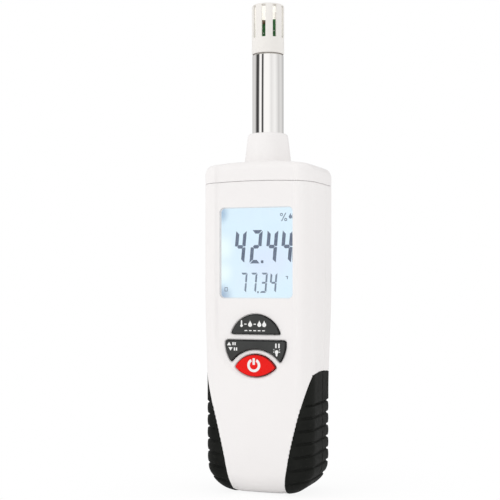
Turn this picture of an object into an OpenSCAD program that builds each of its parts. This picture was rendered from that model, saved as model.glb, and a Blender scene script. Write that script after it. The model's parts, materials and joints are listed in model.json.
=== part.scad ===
// Handheld thermo-hygrometer: a slim two-part housing with a display, three keys and rubber grips,
// a top cap that holds a probe tube, and a slotted guard over the sensor board.
// Millimetres. +Z is up, -Y is the front, and the origin is on the base under the tube's axis.

/* [Case] */
// Height of the housing up to the seam under the cap
case_h = 142; // [139:1:152]
// Width of the housing at the display
case_w = 54.4; // [53.4:0.2:58]
// How much narrower the housing is at the grips
foot_draw = 2.8; // [1:0.2:4]
// Depth from the tube's axis to the recessed panel
front_d = 17.5; // [17.3:0.1:19]
// Depth from the tube's axis to the flat back
back_d = 17.5; // [17.5:0.1:20]
// Depth from the tube's axis to the fullest point of the lower front
belly_d = 18.5; // [18:0.1:20]
// Where the front and rear housings part
parting_y = 1.5; // [0:0.5:3]
// Wall of the housings and the cap
wall = 2.4; // [2.2:0.1:2.7]
// How far the front stands out beyond the recessed panel
front_rise = 0.7; // [0.4:0.1:0.9]
// Half the width of the flat front
front_flat = 20.4; // [19.6:0.2:21]
// Turn of the bevel beside the flat front, in degrees
bevel_turn = 20; // [12:1:24]
// How much each side draws in towards the front
side_draw = 1.5; // [0.8:0.1:1.8]
// Radius of the upper front corners
front_corner_r = 4; // [3.9:0.1:4.5]
// Radius of the rear corners
rear_corner_r = 6; // [4.5:0.5:7]
// Radius of the crowned lower front
belly_crown_r = 150; // [120:5:200]
// Radius of the lower front corners
belly_corner_r = 6; // [4:0.5:8]
// Radius of the belly seen from the side
belly_r = 250; // [220:5:260]
// Height of the belly's fullest point
belly_z = 30; // [26:1:34]
// Height where the sides start to draw in, going down
taper_high = 95; // [85:1:110]
// Height where the sides are drawn in fully
taper_low = 45; // [30:1:60]
// Radius of the bottom corners seen from the front
foot_r = 14.6; // [10:0.2:16]
// Radius of the bottom edge at the back, seen from the side
heel_r = 8; // [6:0.5:9]
// Radius of the bottom edge at the front, seen from the side
toe_r = 14; // [10:0.5:14.5]

/* [Panel and display] */
// Distance from the recessed panel to the side of the housing
panel_side = 9; // [8.6:0.1:9.2]
// Distance from the window's edge to the panel's edge
window_side = 1; // [0.8:0.1:1.2]
// Height of the display window
window_h = 40.8; // [40.5:0.1:44]
// Distance from the seam down to the window
window_drop = 11.8; // [11.5:0.1:13]
// Corner radius of the window
window_r = 1.5; // [0.5:0.1:3]
// Thickness of the window
window_t = 1.2; // [1:0.1:1.5]
// Ledge that carries the window, at its sides
window_ledge = 0.6; // [0.4:0.1:0.8]
// Thickness of the foam gasket
gasket_t = 0.4; // [0.3:0.1:0.6]
// How much narrower the display glass is than the window
glass_draw = 0.8; // [0.6:0.1:1.4]
// How much taller the display glass is than the window
glass_extra_h = 3.2; // [2.6:0.1:3.4]
// Thickness of the display glass
glass_t = 2.1; // [1.6:0.1:2.4]
// Depth of the display frame
frame_t = 2.8; // [2.6:0.1:3.2]
// Rail of the display frame beside the backlight panel
frame_rail = 2; // [1.8:0.1:3]

/* [Main board] */
// Thickness of the main board
board_t = 1.6; // [1:0.2:2]
// Distance from the power key down to the main board's lower edge
board_below = 10.2; // [9.6:0.2:12]
// Distance from the seam down to the main board
board_drop = 5.2; // [5:0.1:6]
// Edge length of the meter chip
chip_w = 14; // [8:1:16]

/* [Keys] */
// How far the keys stand out of the panel
key_proud = 1.2; // [0.6:0.1:2]
// Travel of the upper key and of the power key
key_travel = 0.8; // [0.4:0.1:0.8]
// Gap round each key
key_gap = 0.3; // [0.28:0.02:0.4]
// Lip that holds each key behind the panel
key_lip = 0.9; // [0.6:0.1:0.9]
// Wall of the panel round the keys
key_wall = 2.3; // [2:0.1:2.4]
// Distance from the window down to the upper key's flat edge
units_key_drop = 16.6; // [16.4:0.1:17.4]
// Half width of the upper key
units_key_r = 11.2; // [9:0.1:12]
// Distance from the upper key down to the rocker key
rocker_key_drop = 2.2; // [2.1:0.1:2.6]
// Half width of the rocker key
rocker_key_r = 14.3; // [13.5:0.1:14.6]
// Distance from the rocker key's upper edge down to the power key's widest line
power_key_drop = 12.4; // [12.3:0.1:12.6]
// Half width of the power key
power_key_w = 9.6; // [8:0.1:9.8]

/* [Probe] */
// Outer radius of the probe tube
tube_r = 7.3; // [6.8:0.1:7.5]
// Wall of the probe tube
tube_wall = 1; // [0.6:0.1:1.2]
// Length of tube that shows between the neck and the guard
tube_show = 36.8; // [20:0.2:60]
// Height of the neck above the seam
neck_h = 23.2; // [20:0.2:30]
// Radius of the neck at its top
neck_top_r = 9.1; // [9:0.1:9.6]
// Radius of the neck at the cap
neck_low_r = 10.4; // [10:0.1:12]
// Height of the domed cap above the seam
cap_h = 10.4; // [10.2:0.2:12]
// Radius of the dome seen from the front
cap_crown_r = 100; // [70:1:110]
// Radius of the dome's shoulders
cap_corner_r = 3; // [3:0.5:5]

/* [Sensor guard] */
// Outer radius of the guard
guard_r = 7.5; // [7.3:0.1:8]
// Wall of the guard
guard_wall = 1.5; // [1.3:0.1:1.6]
// Length of the guard
guard_h = 23; // [21:0.5:30]
// Number of slots in the guard
slot_count = 9; // [4:1:10]
// How far the first slot is turned away from the display side, in degrees
slot_turn = 1.5; // [0:0.5:20]
// Width of a slot
slot_w = 1.6; // [1:0.1:2.2]
// Height of the plain ring below the slots
guard_ring_h = 7.4; // [5:0.1:10]
// Thickness of the guard's closed end
guard_end_t = 1.4; // [1:0.1:2]
// How far the guard pulls off
guard_travel = 30; // [20:1:40]

/* [Grips] */
// Height of the grips
grip_h = 55.7; // [52:0.1:58]
// Thickness of the rubber
grip_t = 1.2; // [1:0.1:1.4]
// How far a grip reaches in from the side at the base
grip_foot_reach = 13.5; // [11.5:0.25:14]
// How far a grip reaches in from the side near its top
grip_top_reach = 1.55; // [1.2:0.05:2.6]
// How far a grip's inner edge bows towards the middle
grip_bow = 1.1; // [0.4:0.1:2]
// Number of grooves across a grip
groove_count = 7; // [3:1:8]
// Distance from groove to groove
groove_pitch = 5.6; // [4:0.1:6]
// Width of a groove
groove_w = 1; // [0.5:0.1:1.6]
// Depth of a groove
groove_d = 0.7; // [0.3:0.05:0.8]

/* [Battery] */
// Width of the block battery
battery_w = 26.5; // [26:0.1:26.5]
// Thickness of the block battery
battery_t = 17.5; // [17:0.1:17.5]
// Height of the block battery without its terminals
battery_h = 46.4; // [45:0.1:46.6]
// Width of the battery door
door_w = 28.4; // [28:0.1:28.8]
// Height of the battery door
door_h = 60; // [59.8:0.1:60.4]
// Thickness of the battery door
door_t = 2; // [1.8:0.1:2.1]
// How far the door slides before it lifts off
door_travel = 7; // [4:0.5:7]

/* [Hidden] */
$fn = 64;
// Segments of the very large circles
fine = 720;
// How far a corner's arc stands through the crown it runs into
overlap = 0.02;
// A reach past the part on every side, for cuts
reach = 60;
// Gap between pieces that are fitted together by hand
fit = 0.1;
// Gap between pieces that slide past each other
slide = 0.2;
// Radial gap of the guard on its stub
running = 0.08;
// Where the room inside starts behind the panel
room_y = wall + 0.2 - front_d;
// How far the belly's crown and the side outline reach past its fullest point
belly_past = 0.3;
belly_back_y = -4;
toe_y = toe_r - belly_d - 0.5;
white = "#f2f2f0";
grey = "#45484c";
black = "#1d1d1f";
steel = "#c9ccd0";

// Widths
foot_w = case_w - foot_draw;
panel_w = case_w - 2*panel_side;
window_w = panel_w - 2*window_side;
glass_w = window_w - glass_draw;
glass_h = window_h + glass_extra_h;
frame_w = window_w;
backlight_w = frame_w - 2*frame_rail;
board_w = frame_w + 0.6;

// Heights
window_high = case_h - window_drop;
window_low = window_high - window_h;
window_mid = window_high - window_h/2;
units_key_z = window_low - units_key_drop;
rocker_key_z = units_key_z - rocker_key_drop;
power_key_z = rocker_key_z - power_key_drop;
panel_turn_z = units_key_z - 0.8;
board_low = power_key_z - board_below;
board_high = case_h - board_drop;
neck_high = case_h + neck_h;
cap_high = case_h + cap_h;
tube_high = neck_high + tube_show;
guard_high = tube_high + guard_h;

// Depths of the layers behind the window, all negative because the front is -Y
ledge_y = window_t + 0.1 - front_d;
inner_y = key_wall - front_d;
glass_y = inner_y + gasket_t;
frame_y = glass_y + glass_t;
board_y = frame_y + frame_t;
board_back = board_y + board_t;

// Small parts on the back of the main board
chip_low = window_mid - chip_w;
capacitor_x = board_w/2 - 5.5;
capacitor_r = 2.5;

// Screws and bosses
boss_x = case_w/2 - 6.6;
boss_r = 2.6;
boss_zs = [units_key_z - 2.8, case_h - 11];
column_r = 3.6;
screw_r = 1.25;
screw_head_r = 2.4;
screw_head_t = 2.2;
screw_sink = 1.8;
screw_end_y = parting_y - 7;
small_screw_r = 0.8;
small_head_r = 1.9;
board_screw_x = board_w/2 - 3;
board_screw_zs = [board_low + 2.6, board_high - 2.1];

// Probe
seat_z = case_h + 3;
flange_t = 1.6;
flange_r = tube_r + 1.3;
retainer_t = 1.5;
retainer_x = 14;
seal_r = 0.8;
seal_z = neck_high - 7;
bore_r = tube_r - tube_wall;
guard_bore_r = guard_r - guard_wall;
stub_r = guard_bore_r - running;
stub_h = 4.5;
holder_depth = 10;
sensor_board_w = 9.8;
sensor_board_t = 1;
sensor_board_low = tube_high + 1.2;
sensor_board_high = tube_high + 16.5;
cable_r = 1.4;
cable_y = board_back + 2.8;
socket_low = board_high - 12.8;
socket_h = 6;
plug_h = 4.5;

// Cap skirt with its tongue
skirt_h = 4.5;
skirt_t = 1.4;
tongue_h = 1.2;
tongue_d = 0.7;
tongue_z = case_h - 3.4;

// Battery room
room_low = 7.5;
room_wall = 1.2;
room_w = battery_w + 0.7;
battery_low = room_low + 0.05;
battery_high = battery_low + battery_h;
pad_t = 0.8;
battery_back = back_d - door_t - pad_t - fit;
battery_front = battery_back - battery_t;
battery_mid = battery_back - battery_t/2;
room_front = battery_front - 0.2;
terminal_x = battery_w*0.24;
terminal_h = 2.6;
snap_low = battery_high + terminal_h + 0.2;
snap_t = 2.6;
snap_w = battery_w - 0.9;
snap_d = battery_t - 4.9;
room_high = snap_low + snap_t + 1.6;
lead_r = 0.7;
lead_z = room_high + 11;
lead_xs = [board_w/2 - 9.5, board_w/2 - 6.5];
lead_header_t = 4.5;

// Door
door_front = back_d - heel_r;
rail_w = 0.8;
rail_t = 0.8;
rail_y = back_d - 1.6;
rail_low = 14;
rail_high = door_h - 2;

// Keys
key_front = -front_d - key_proud;
lip_t = 0.9;
key_room = 0.6;
rocker_room = 0.75;
rocker_axis_y = inner_y + 2;
mat_t = 0.8;
dome_h = 1;
dome_r = 2.6;
mat_front = board_y - mat_t;
dome_front = mat_front - dome_h;
rocker_arc_z = rocker_key_z - 1.5;
ridge_r = 1.2;

// Grip outline
grip_top_z = 50;
grip_foot_x = foot_w/2 - grip_foot_reach;
grip_top_x = foot_w/2 - grip_top_reach;
grip_edge = [grip_top_x - grip_foot_x, grip_top_z];
grip_edge_len = norm(grip_edge);
grip_edge_r = (pow(grip_edge_len/2, 2) + pow(grip_bow, 2))/(2*grip_bow);
grip_edge_n = [grip_edge[1], -grip_edge[0]]/grip_edge_len;
grip_centre = [grip_foot_x, 0] + grip_edge/2 + grip_edge_n*(grip_edge_r - grip_bow);
grip_shoulder_r = 10;
grip_rear_x = door_w/2 + 2.3;
groove_top_z = 41.4;
groove_tilt = 1.5;
groove_margin = 1.5;

// Straight runs of a 2D shape along one axis
module along_z(z0, z1) translate([0, 0, z0]) linear_extrude(height = z1 - z0) children();
module along_y(y0, y1) translate([0, y1, 0]) rotate([90, 0, 0]) linear_extrude(height = y1 - y0) children();
module along_x(x0, x1) translate([x0, 0, 0]) rotate([90, 0, 90]) linear_extrude(height = x1 - x0) children();

// A box between two corners
module box(a, b) translate(a) cube(b - a);

// A round bar between y0 and y1
module bar_y(x, z, r, y0, y1) translate([x, y1, z]) rotate([90, 0, 0]) cylinder(r = r, h = y1 - y0);

// A rectangle with round corners, centred
module rounded_rect(w, h, r) {
    square([w - 2*r, h], center = true);
    square([w, h - 2*r], center = true);
    for (x = [-1, 1], y = [-1, 1])
        translate([x*(w/2 - r), y*(h/2 - r)]) circle(r = r);
}

// A shape with a crowned top whose corner arcs run into the crown and the straight sides;
// i is how far it lies inside the outer skin
module crowned(w, top, crown, corner, low, i) {
    crown_y = top - crown;
    corner_x = w/2 - corner;
    corner_y = crown_y + sqrt(pow(crown - corner + overlap, 2) - pow(corner_x, 2));
    touch_x = corner_x*(crown - i)/(crown - corner);
    intersection() {
        translate([0, crown_y]) circle(r = crown - i, $fn = fine);
        translate([-touch_x, low]) square([2*touch_x, top - low]);
    }
    for (s = [-1, 1])
        translate([s*corner_x, corner_y]) circle(r = corner - i);
    translate([i - w/2, low]) square([w - 2*i, corner_y - low]);
}

// The rear half of the housing seen from above
module rear_plan(w, i) {
    translate([i - w/2, 0]) square([w - 2*i, back_d - rear_corner_r]);
    for (s = [-1, 1])
        translate([s*(w/2 - rear_corner_r), back_d - rear_corner_r]) circle(r = rear_corner_r - i);
    translate([rear_corner_r - w/2, 0]) square([w - 2*rear_corner_r, back_d - i]);
}

// The housing seen from above: a flat front, bevels, round corners and sides that draw in
module plan(i) {
    r = front_corner_r - i;
    front_y = -front_d - front_rise;
    corner_x = case_w/2 - side_draw - front_corner_r;
    corner_y = front_y + (front_corner_r + sin(bevel_turn)*(corner_x - front_flat))/cos(bevel_turn);
    side_turn = atan(-side_draw/corner_y);
    inner_r = r - overlap;
    side_x = corner_x + inner_r*cos(side_turn);
    side_y = corner_y - inner_r*sin(side_turn);
    bevel_x = corner_x + inner_r*sin(bevel_turn);
    bevel_y = corner_y - inner_r*cos(bevel_turn);
    flat_x = front_flat - i*tan(bevel_turn/2);
    polygon([[i - case_w/2, 0], [-side_x, side_y], [-bevel_x, bevel_y], [-flat_x, front_y + i],
             [flat_x, front_y + i], [bevel_x, bevel_y], [side_x, side_y], [case_w/2 - i, 0]]);
    for (s = [-1, 1])
        translate([s*corner_x, corner_y]) circle(r = r);
    rear_plan(case_w, i);
}

// The housing seen from the front
module front_outline(i, top) {
    high_x = case_w/2 - i;
    low_x = foot_w/2 - i;
    polygon([[-low_x, foot_r], [low_x, foot_r], [low_x, taper_low], [high_x, taper_high],
             [high_x, top], [-high_x, top], [-high_x, taper_high], [-low_x, taper_low]]);
    for (s = [-1, 1])
        translate([s*(foot_w/2 - foot_r), foot_r]) circle(r = foot_r - i);
    translate([foot_r - foot_w/2, i]) square([foot_w - 2*foot_r, foot_r - i]);
}

// The housing seen from the side
module side_outline(i, top) {
    translate([toe_y - toe_r + i, toe_r]) square([back_d - toe_y + toe_r - 2*i, top - toe_r]);
    translate([toe_y, toe_r]) circle(r = toe_r - i);
    translate([toe_y, i]) square([back_d - heel_r - toe_y, toe_r]);
    translate([0, heel_r]) square([back_d - i, toe_r]);
    translate([back_d - heel_r, heel_r]) circle(r = heel_r - i);
}

// The solid form of the housing, without the recess
module body_form(i, top) {
    intersection() {
        union() {
            belly_form(i);
            along_z(-1, top) plan(i);
        }
        along_y(-reach, reach) front_outline(i, top);
        along_x(-reach, reach) side_outline(i, top);
    }
}

// The room inside the front housing, less deep behind the panel
module room_form(top) {
    intersection() {
        body_form(wall, top);
        union() {
            box([-reach, room_y, -2], [reach, reach, reach*4]);
            box([-reach, -reach, -2], [reach, reach, panel_turn_z - panel_w/2 - 3]);
            box([-reach, -reach, case_h - skirt_h - 1], [reach, reach, reach*4]);
        }
    }
}

// The fuller lower front, crowned across and along
module belly_form(i) {
    intersection() {
        along_z(-2, taper_high) {
            mirror([0, 1]) crowned(foot_w, belly_d + belly_past, belly_crown_r, belly_corner_r, 0, i);
            rear_plan(foot_w, i);
        }
        along_x(-reach, reach)
            translate([belly_r - belly_d, belly_z]) circle(r = belly_r - i, $fn = fine);
        box([-reach, -reach, -3], [reach, belly_back_y, panel_turn_z + 12]);
    }
}

// The recess in front of the panel, with a round lower end
module recess(z1) {
    along_y(-reach, -front_d) {
        translate([-panel_w/2, panel_turn_z]) square([panel_w, z1 - panel_turn_z]);
        translate([0, panel_turn_z]) circle(d = panel_w);
    }
}

// The domed form of the cap, from z0 up
module cap_form(i, z0) {
    intersection() {
        along_z(z0, cap_high) plan(i);
        along_y(-reach, reach) crowned(case_w, cap_high, cap_crown_r, cap_corner_r, z0, i);
        along_x(-reach, reach) translate([(back_d - front_d - front_rise)/2, 0])
            crowned(front_d + front_rise + back_d, cap_high, cap_crown_r, cap_corner_r, z0, i);
    }
}

// The rim of the housings that the cap's skirt fits in
module rim_plan(i) plan(i);

// Where a grip lies: outside an arc seen from the front, below an arch seen from the side
module grip_region(s, margin) {
    intersection() {
        along_y(-reach, reach) mirror([s < 0 ? 1 : 0, 0]) intersection() {
            translate(grip_centre) circle(r = grip_edge_r - margin, $fn = fine);
            translate([0, -1]) square([reach, reach + 1]);
        }
        along_x(-reach, reach) {
            translate([-belly_d, -1]) square([belly_d + back_d, grip_h - grip_shoulder_r + 1]);
            translate([grip_shoulder_r - belly_d, 0])
                square([belly_d + back_d - 2*grip_shoulder_r, grip_h]);
            for (y = [grip_shoulder_r - belly_d, back_d - grip_shoulder_r])
                translate([y, grip_h - grip_shoulder_r]) circle(r = grip_shoulder_r);
        }
        union() {
            box([-reach, -reach, -1], [reach, parting_y, reach]);
            box([s > 0 ? grip_rear_x + margin : -reach, parting_y, -1],
                [s > 0 ? reach : -grip_rear_x - margin, reach, reach]);
        }
    }
}

// The pocket in the housings for both grips
module grip_pockets() {
    difference() {
        for (s = [-1, 1])
            grip_region(s, 0);
        body_form(grip_t, case_h);
    }
}

module grip(s) {
    color(black) difference() {
        intersection() {
            body_form(0, case_h);
            grip_region(s, 0.05);
        }
        body_form(grip_t - 0.05, case_h);
        difference() {
            intersection() {
                for (k = [0:groove_count - 1])
                    translate([s*foot_w/2, 0, groove_top_z - k*groove_pitch])
                        rotate([0, -s*(k + 1)*groove_tilt, 0])
                            cube([2*reach, 2*reach, groove_w], center = true);
                grip_region(s, groove_margin);
            }
            body_form(groove_d, case_h);
        }
    }
}

// The groove for the cap's tongue, inside the rim
module tongue_groove() {
    along_z(tongue_z - slide, tongue_z + tongue_h + slide) rim_plan(wall - tongue_d - fit);
}

// Key outlines, grown by g
module units_outline(g) {
    intersection() {
        translate([0, units_key_z - 1.7]) circle(r = units_key_r + g);
        translate([-reach, units_key_z - g]) square([2*reach, reach]);
    }
}

module rocker_outline(g) {
    difference() {
        intersection() {
            translate([0, rocker_arc_z]) circle(r = rocker_key_r + g);
            translate([-reach, rocker_arc_z - 8.8 - g]) square([2*reach, 10.3 + 2*g]);
        }
        translate([0, rocker_arc_z - 17.1]) circle(r = 14.4 - g);
    }
}

module power_outline(g) {
    rise = 5.7;
    drop = 4.2;
    upper_r = (pow(power_key_w, 2) + pow(rise, 2))/(2*rise);
    lower_r = (pow(power_key_w, 2) + pow(drop, 2))/(2*drop);
    intersection() {
        translate([0, power_key_z + rise - upper_r]) circle(r = upper_r + g);
        translate([0, power_key_z - drop + lower_r]) circle(r = lower_r + g);
    }
}

module front_housing() {
    color(white) difference() {
        union() {
            difference() {
                body_form(0, case_h);
                room_form(case_h + 1);
                recess(case_h + 1);
                tongue_groove();
                grip_pockets();
            }
            intersection() {
                body_form(grip_t + fit, case_h);
                union() {
                    for (s = [-1, 1], z = boss_zs)
                        bar_y(s*boss_x, z, boss_r, -reach, parting_y);
                    for (s = [-1, 1], z = board_screw_zs)
                        bar_y(s*board_screw_x, z, small_head_r, -reach, board_y);
                }
            }
        }
        box([-reach, parting_y, -1], [reach, reach, case_h + 1]);
        // Window seat, opening and the pocket for the glass
        along_y(-reach, ledge_y)
            translate([0, window_mid]) rounded_rect(window_w + fit, window_h + fit, window_r);
        along_y(-reach, 0) translate([0, window_mid])
            square([window_w - 2*window_ledge, window_h - 2*window_ledge], center = true);
        box([-glass_w/2 - 0.2, inner_y, window_mid - glass_h/2 - 0.2],
            [glass_w/2 + 0.2, frame_y + 1, window_mid + glass_h/2 + 0.2]);
        // Key openings and the flat room behind them
        along_y(-reach, 0) {
            units_outline(key_gap);
            rocker_outline(key_gap);
            power_outline(key_gap);
        }
        along_y(inner_y, board_y - slide) {
            units_outline(key_lip + key_room);
            rocker_outline(key_lip + key_room);
            power_outline(key_lip + key_room);
        }
        for (s = [-1, 1], z = boss_zs)
            bar_y(s*boss_x, z, screw_r + 0.05, screw_end_y - 0.5, parting_y + 1);
        for (s = [-1, 1], z = board_screw_zs)
            bar_y(s*board_screw_x, z, small_screw_r + 0.05, board_y - 3, board_y + 1);
    }
}

module rear_housing() {
    color(white) difference() {
        union() {
            difference() {
                body_form(0, case_h);
                body_form(wall, case_h + 1);
                box([-reach, -reach, -1], [reach, parting_y, case_h + 1]);
                tongue_groove();
                grip_pockets();
                // Opening for the door and its rails
                difference() {
                    box([-door_w/2 - slide, door_front - slide, -1],
                        [door_w/2 + slide, reach, door_h + slide]);
                    body_form(wall + 0.1, case_h);
                }
                box([-door_w/2 - rail_w - slide, rail_y - slide, rail_low - door_travel - slide],
                    [door_w/2 + rail_w + slide, rail_y + rail_t + slide, rail_high + slide]);
            }
            battery_room();
            intersection() {
                for (s = [-1, 1], z = boss_zs)
                    bar_y(s*boss_x, z, column_r, parting_y, reach);
                body_form(0, case_h);
            }
        }
        for (s = [-1, 1], z = boss_zs) {
            bar_y(s*boss_x, z, screw_r + 0.25, parting_y - 1, reach);
            bar_y(s*boss_x, z, screw_head_r + 0.15, back_d - screw_sink - screw_head_t, reach);
        }
    }
}

// The walled room for the battery, open at the back
module battery_room() {
    intersection() {
        difference() {
            box([-room_w/2 - room_wall, room_front - room_wall, room_low - room_wall],
                [room_w/2 + room_wall, back_d, room_high + room_wall]);
            box([-room_w/2, room_front, room_low], [room_w/2, back_d + 1, room_high]);
            box([lead_xs[0] - 1.5, battery_mid - 1.5, room_high - 1],
                [lead_xs[1] + 1.5, battery_mid + 1.5, room_high + room_wall + 1]);
        }
        union() {
            body_form(door_t + 0.3, case_h);
            box([-room_w/2 - room_wall, room_front - room_wall, room_high],
                [room_w/2 + room_wall, back_d - door_t, room_high + room_wall]);
        }
    }
}

module top_cap() {
    color(white) difference() {
        union() {
            difference() {
                cap_form(0, case_h);
                cap_form(wall, case_h - 1);
                recess(cap_high + 1);
            }
            intersection() {
                cap_form(0, case_h);
                union() {
                    translate([0, 0, seat_z]) cylinder(r = neck_low_r - 0.3, h = reach);
                    for (s = [-1, 1])
                        translate([s*retainer_x, 0, seat_z - flange_t]) cylinder(r = 2.6, h = reach);
                }
            }
            // Neck with a chamfered top
            translate([0, 0, cap_high - 3])
                cylinder(r1 = neck_low_r, r2 = neck_top_r, h = neck_high - 1.4 - cap_high + 3);
            translate([0, 0, neck_high - 1.4])
                cylinder(r1 = neck_top_r, r2 = neck_top_r - 0.8, h = 1.4);
            // Skirt with its tongue
            difference() {
                union() {
                    along_z(case_h - skirt_h, case_h + 1) rim_plan(wall + fit);
                    along_z(case_h, case_h + 2) rim_plan(wall - 0.4);
                    along_z(tongue_z, tongue_z + tongue_h) rim_plan(wall - tongue_d);
                }
                along_z(case_h - skirt_h - 1, case_h + 3) rim_plan(wall + skirt_t);
            }
        }
        translate([0, 0, case_h]) cylinder(r = tube_r + 0.05, h = reach);
        translate([0, 0, seal_z - seal_r - fit])
            cylinder(r = tube_r + 2*seal_r, h = 2*(seal_r + fit));
        for (s = [-1, 1])
            translate([s*retainer_x, 0, case_h]) cylinder(r = small_screw_r + 0.05, h = 5.5);
    }
}

module display_window() {
    color("#e8f6ff", 0.4) along_y(fit - front_d, ledge_y)
        translate([0, window_mid]) rounded_rect(window_w, window_h, window_r);
}

module window_gasket() {
    color(black) along_y(inner_y, glass_y) translate([0, window_mid]) difference() {
        square([glass_w, window_h + 2], center = true);
        square([glass_w - 0.9, window_h - 1], center = true);
    }
}

module display_glass() {
    color("#b9dcec") along_y(glass_y, frame_y)
        translate([0, window_mid]) square([glass_w, glass_h], center = true);
}

// The frame holds the backlight and the two contact strips
module display_frame() {
    color("#dcdcd6") along_y(frame_y, board_y) translate([0, window_mid]) difference() {
        square([frame_w, glass_h + 2], center = true);
        square([backlight_w + 0.4, glass_h - 6], center = true);
        for (s = [-1, 1])
            translate([0, s*(glass_h/2 - 1.4)]) square([backlight_w, 2], center = true);
    }
}

module backlight_panel() {
    color("#e6f4fb") along_y(frame_y, board_y - 0.3)
        translate([0, window_mid + 1.2]) square([backlight_w, glass_h - 8.6], center = true);
}

module backlight_lamps() {
    color("#f6f2d0") for (s = [-1, 1])
        box([s*7 - 1.5, board_y - 2, window_mid - glass_h/2 + 3.1],
            [s*7 + 1.5, board_y, window_mid - glass_h/2 + 5.3]);
}

module contact_strips() {
    color("#c86f8a") along_y(frame_y, board_y) for (s = [-1, 1])
        translate([0, window_mid + s*(glass_h/2 - 1.4)]) square([backlight_w - 0.2, 1.8], center = true);
}

module main_board() {
    color("#1f6b3a") difference() {
        box([-board_w/2, board_y, board_low], [board_w/2, board_back, board_high]);
        for (s = [-1, 1], z = board_screw_zs)
            bar_y(s*board_screw_x, z, small_screw_r + 0.2, board_y - 1, board_back + 1);
    }
}

module meter_chip() {
    color(black) {
        box([-chip_w/2, board_back, chip_low], [chip_w/2, board_back + 1.6, chip_low + chip_w]);
        for (k = [0:7], s = [-1, 1])
            box([s*(chip_w/2 + 0.5) - 0.6, board_back, chip_low + chip_w*(k + 0.8)/8],
                [s*(chip_w/2 + 0.5) + 0.6, board_back + 0.4, chip_low + chip_w*(k + 1.1)/8]);
    }
}

module quartz_crystal() {
    color(steel) translate([chip_w/2 + 3.4, board_back + 1.6, window_mid - 6]) cylinder(r = 1.6, h = 8);
}

module capacitors() {
    color("#3a4a6a") {
        for (k = [0, 1])
            bar_y(-capacitor_x, chip_low - 2*capacitor_r - 3 - k*2.8*capacitor_r, capacitor_r,
                  board_back, board_back + 2*capacitor_r);
        bar_y(capacitor_x, window_mid + 8, 2, board_back, board_back + 1.8*capacitor_r);
    }
}

module board_screws() {
    color(steel) for (s = [-1, 1], z = board_screw_zs) {
        bar_y(s*board_screw_x, z, small_screw_r, board_y - 2.8, board_back);
        difference() {
            bar_y(s*board_screw_x, z, small_head_r, board_back, board_back + 1.3);
            cross_recess(s*board_screw_x, z, board_back + 1.3, 1.2);
        }
    }
}

// A cross recess in a screw head whose top is at y1
module cross_recess(x, z, y1, w) {
    for (a = [0, 90])
        translate([x, y1, z]) rotate([0, a, 0]) cube([2*w, 1.2, w/3], center = true);
}

module keypad_mat() {
    color("#8a8f96") difference() {
        union() {
            box([-rocker_key_r, mat_front, power_key_z - 3.8],
                [rocker_key_r, board_y, units_key_z + units_key_r - 1]);
            for (p = [[0, units_key_z + 4.5], [-10.2, rocker_arc_z - 2.9], [10.2, rocker_arc_z - 2.9],
                      [0, power_key_z + 0.8]])
                bar_y(p[0], p[1], dome_r, dome_front, mat_front + 0.1);
            box([-2, rocker_axis_y + ridge_r + 0.05, rocker_key_z - 3.4], [2, mat_front + 0.1, rocker_key_z]);
        }
        for (s = [-1, 1])
            bar_y(s*board_screw_x, board_screw_zs[0], small_head_r + 0.3, mat_front - 1, board_y + 1);
    }
}

module units_key() {
    color(grey) {
        along_y(key_front, inner_y + 0.05 + lip_t) units_outline(0);
        along_y(inner_y + 0.05, inner_y + 0.05 + lip_t) units_outline(key_lip);
        bar_y(0, units_key_z + 4.5, 2, inner_y + lip_t, dome_front - key_travel - 0.05);
    }
}

module rocker_key() {
    color(grey) {
        along_y(key_front, inner_y + rocker_room + lip_t) rocker_outline(0);
        along_y(inner_y + rocker_room, inner_y + rocker_room + lip_t) rocker_outline(key_lip);
        translate([0, rocker_axis_y, rocker_key_z - 3.2]) cylinder(r = ridge_r, h = 3);
        for (s = [-1, 1])
            bar_y(s*10.2, rocker_arc_z - 2.9, 1.7, inner_y + rocker_room, dome_front - 0.55);
    }
}

module power_key() {
    color("#e0261c") {
        along_y(key_front, inner_y + 0.05 + lip_t) power_outline(0);
        along_y(inner_y + 0.05, inner_y + 0.05 + lip_t) power_outline(key_lip);
        bar_y(0, power_key_z + 0.8, 2, inner_y + lip_t, dome_front - key_travel - 0.05);
    }
}

module sensor_socket() {
    color("#e9e6da") difference() {
        box([-6, board_back, socket_low], [6, board_back + 5.2, socket_low + socket_h]);
        box([-5, board_back + 1, socket_low + 2], [5, board_back + 4.6, socket_low + socket_h + 1]);
    }
}

module sensor_plug() {
    color("#f0efe8")
        box([-4.9, board_back + 1.1, socket_low + 2.1], [4.9, board_back + 4.5, socket_low + socket_h + plug_h]);
}

// A round cord along points [y, z] at one x, each ring square to its path
module cord(x, route, r, sides) {
    last = len(route) - 1;
    function heading(k) = let (d = route[min(k + 1, last)] - route[max(k - 1, 0)]) d/norm(d);
    rings = [for (k = [0:last]) let (h = heading(k))
        [for (a = [0:sides - 1]) let (c = r*cos(a*360/sides), s = r*sin(a*360/sides))
            [x + c, route[k][0] - h[1]*s, route[k][1] + h[0]*s]]];
    points = [for (ring = rings) for (p = ring) p];
    sleeve = [for (k = [0:last - 1], a = [0:sides - 1]) let (b = (a + 1)%sides, n = k*sides)
        each [[n + a, n + b, n + sides + a], [n + b, n + sides + b, n + sides + a]]];
    caps = [for (a = [1:sides - 2]) each [[0, a + 1, a],
        [last*sides, last*sides + a, last*sides + a + 1]]];
    polyhedron(points = points, faces = concat(sleeve, caps), convexity = 4);
}

module sensor_cable() {
    low_z = socket_low + socket_h + plug_h;
    color("#4a4d52") cord(0, [[0, tube_high - holder_depth], [0, case_h + 8], [-0.3, case_h + 3],
        [-1.2, case_h], [cable_y/2, low_z + 3.6], [cable_y + 1.2, low_z + 1.6],
        [cable_y, low_z + 0.8], [cable_y, low_z]], cable_r, 10);
}

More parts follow.
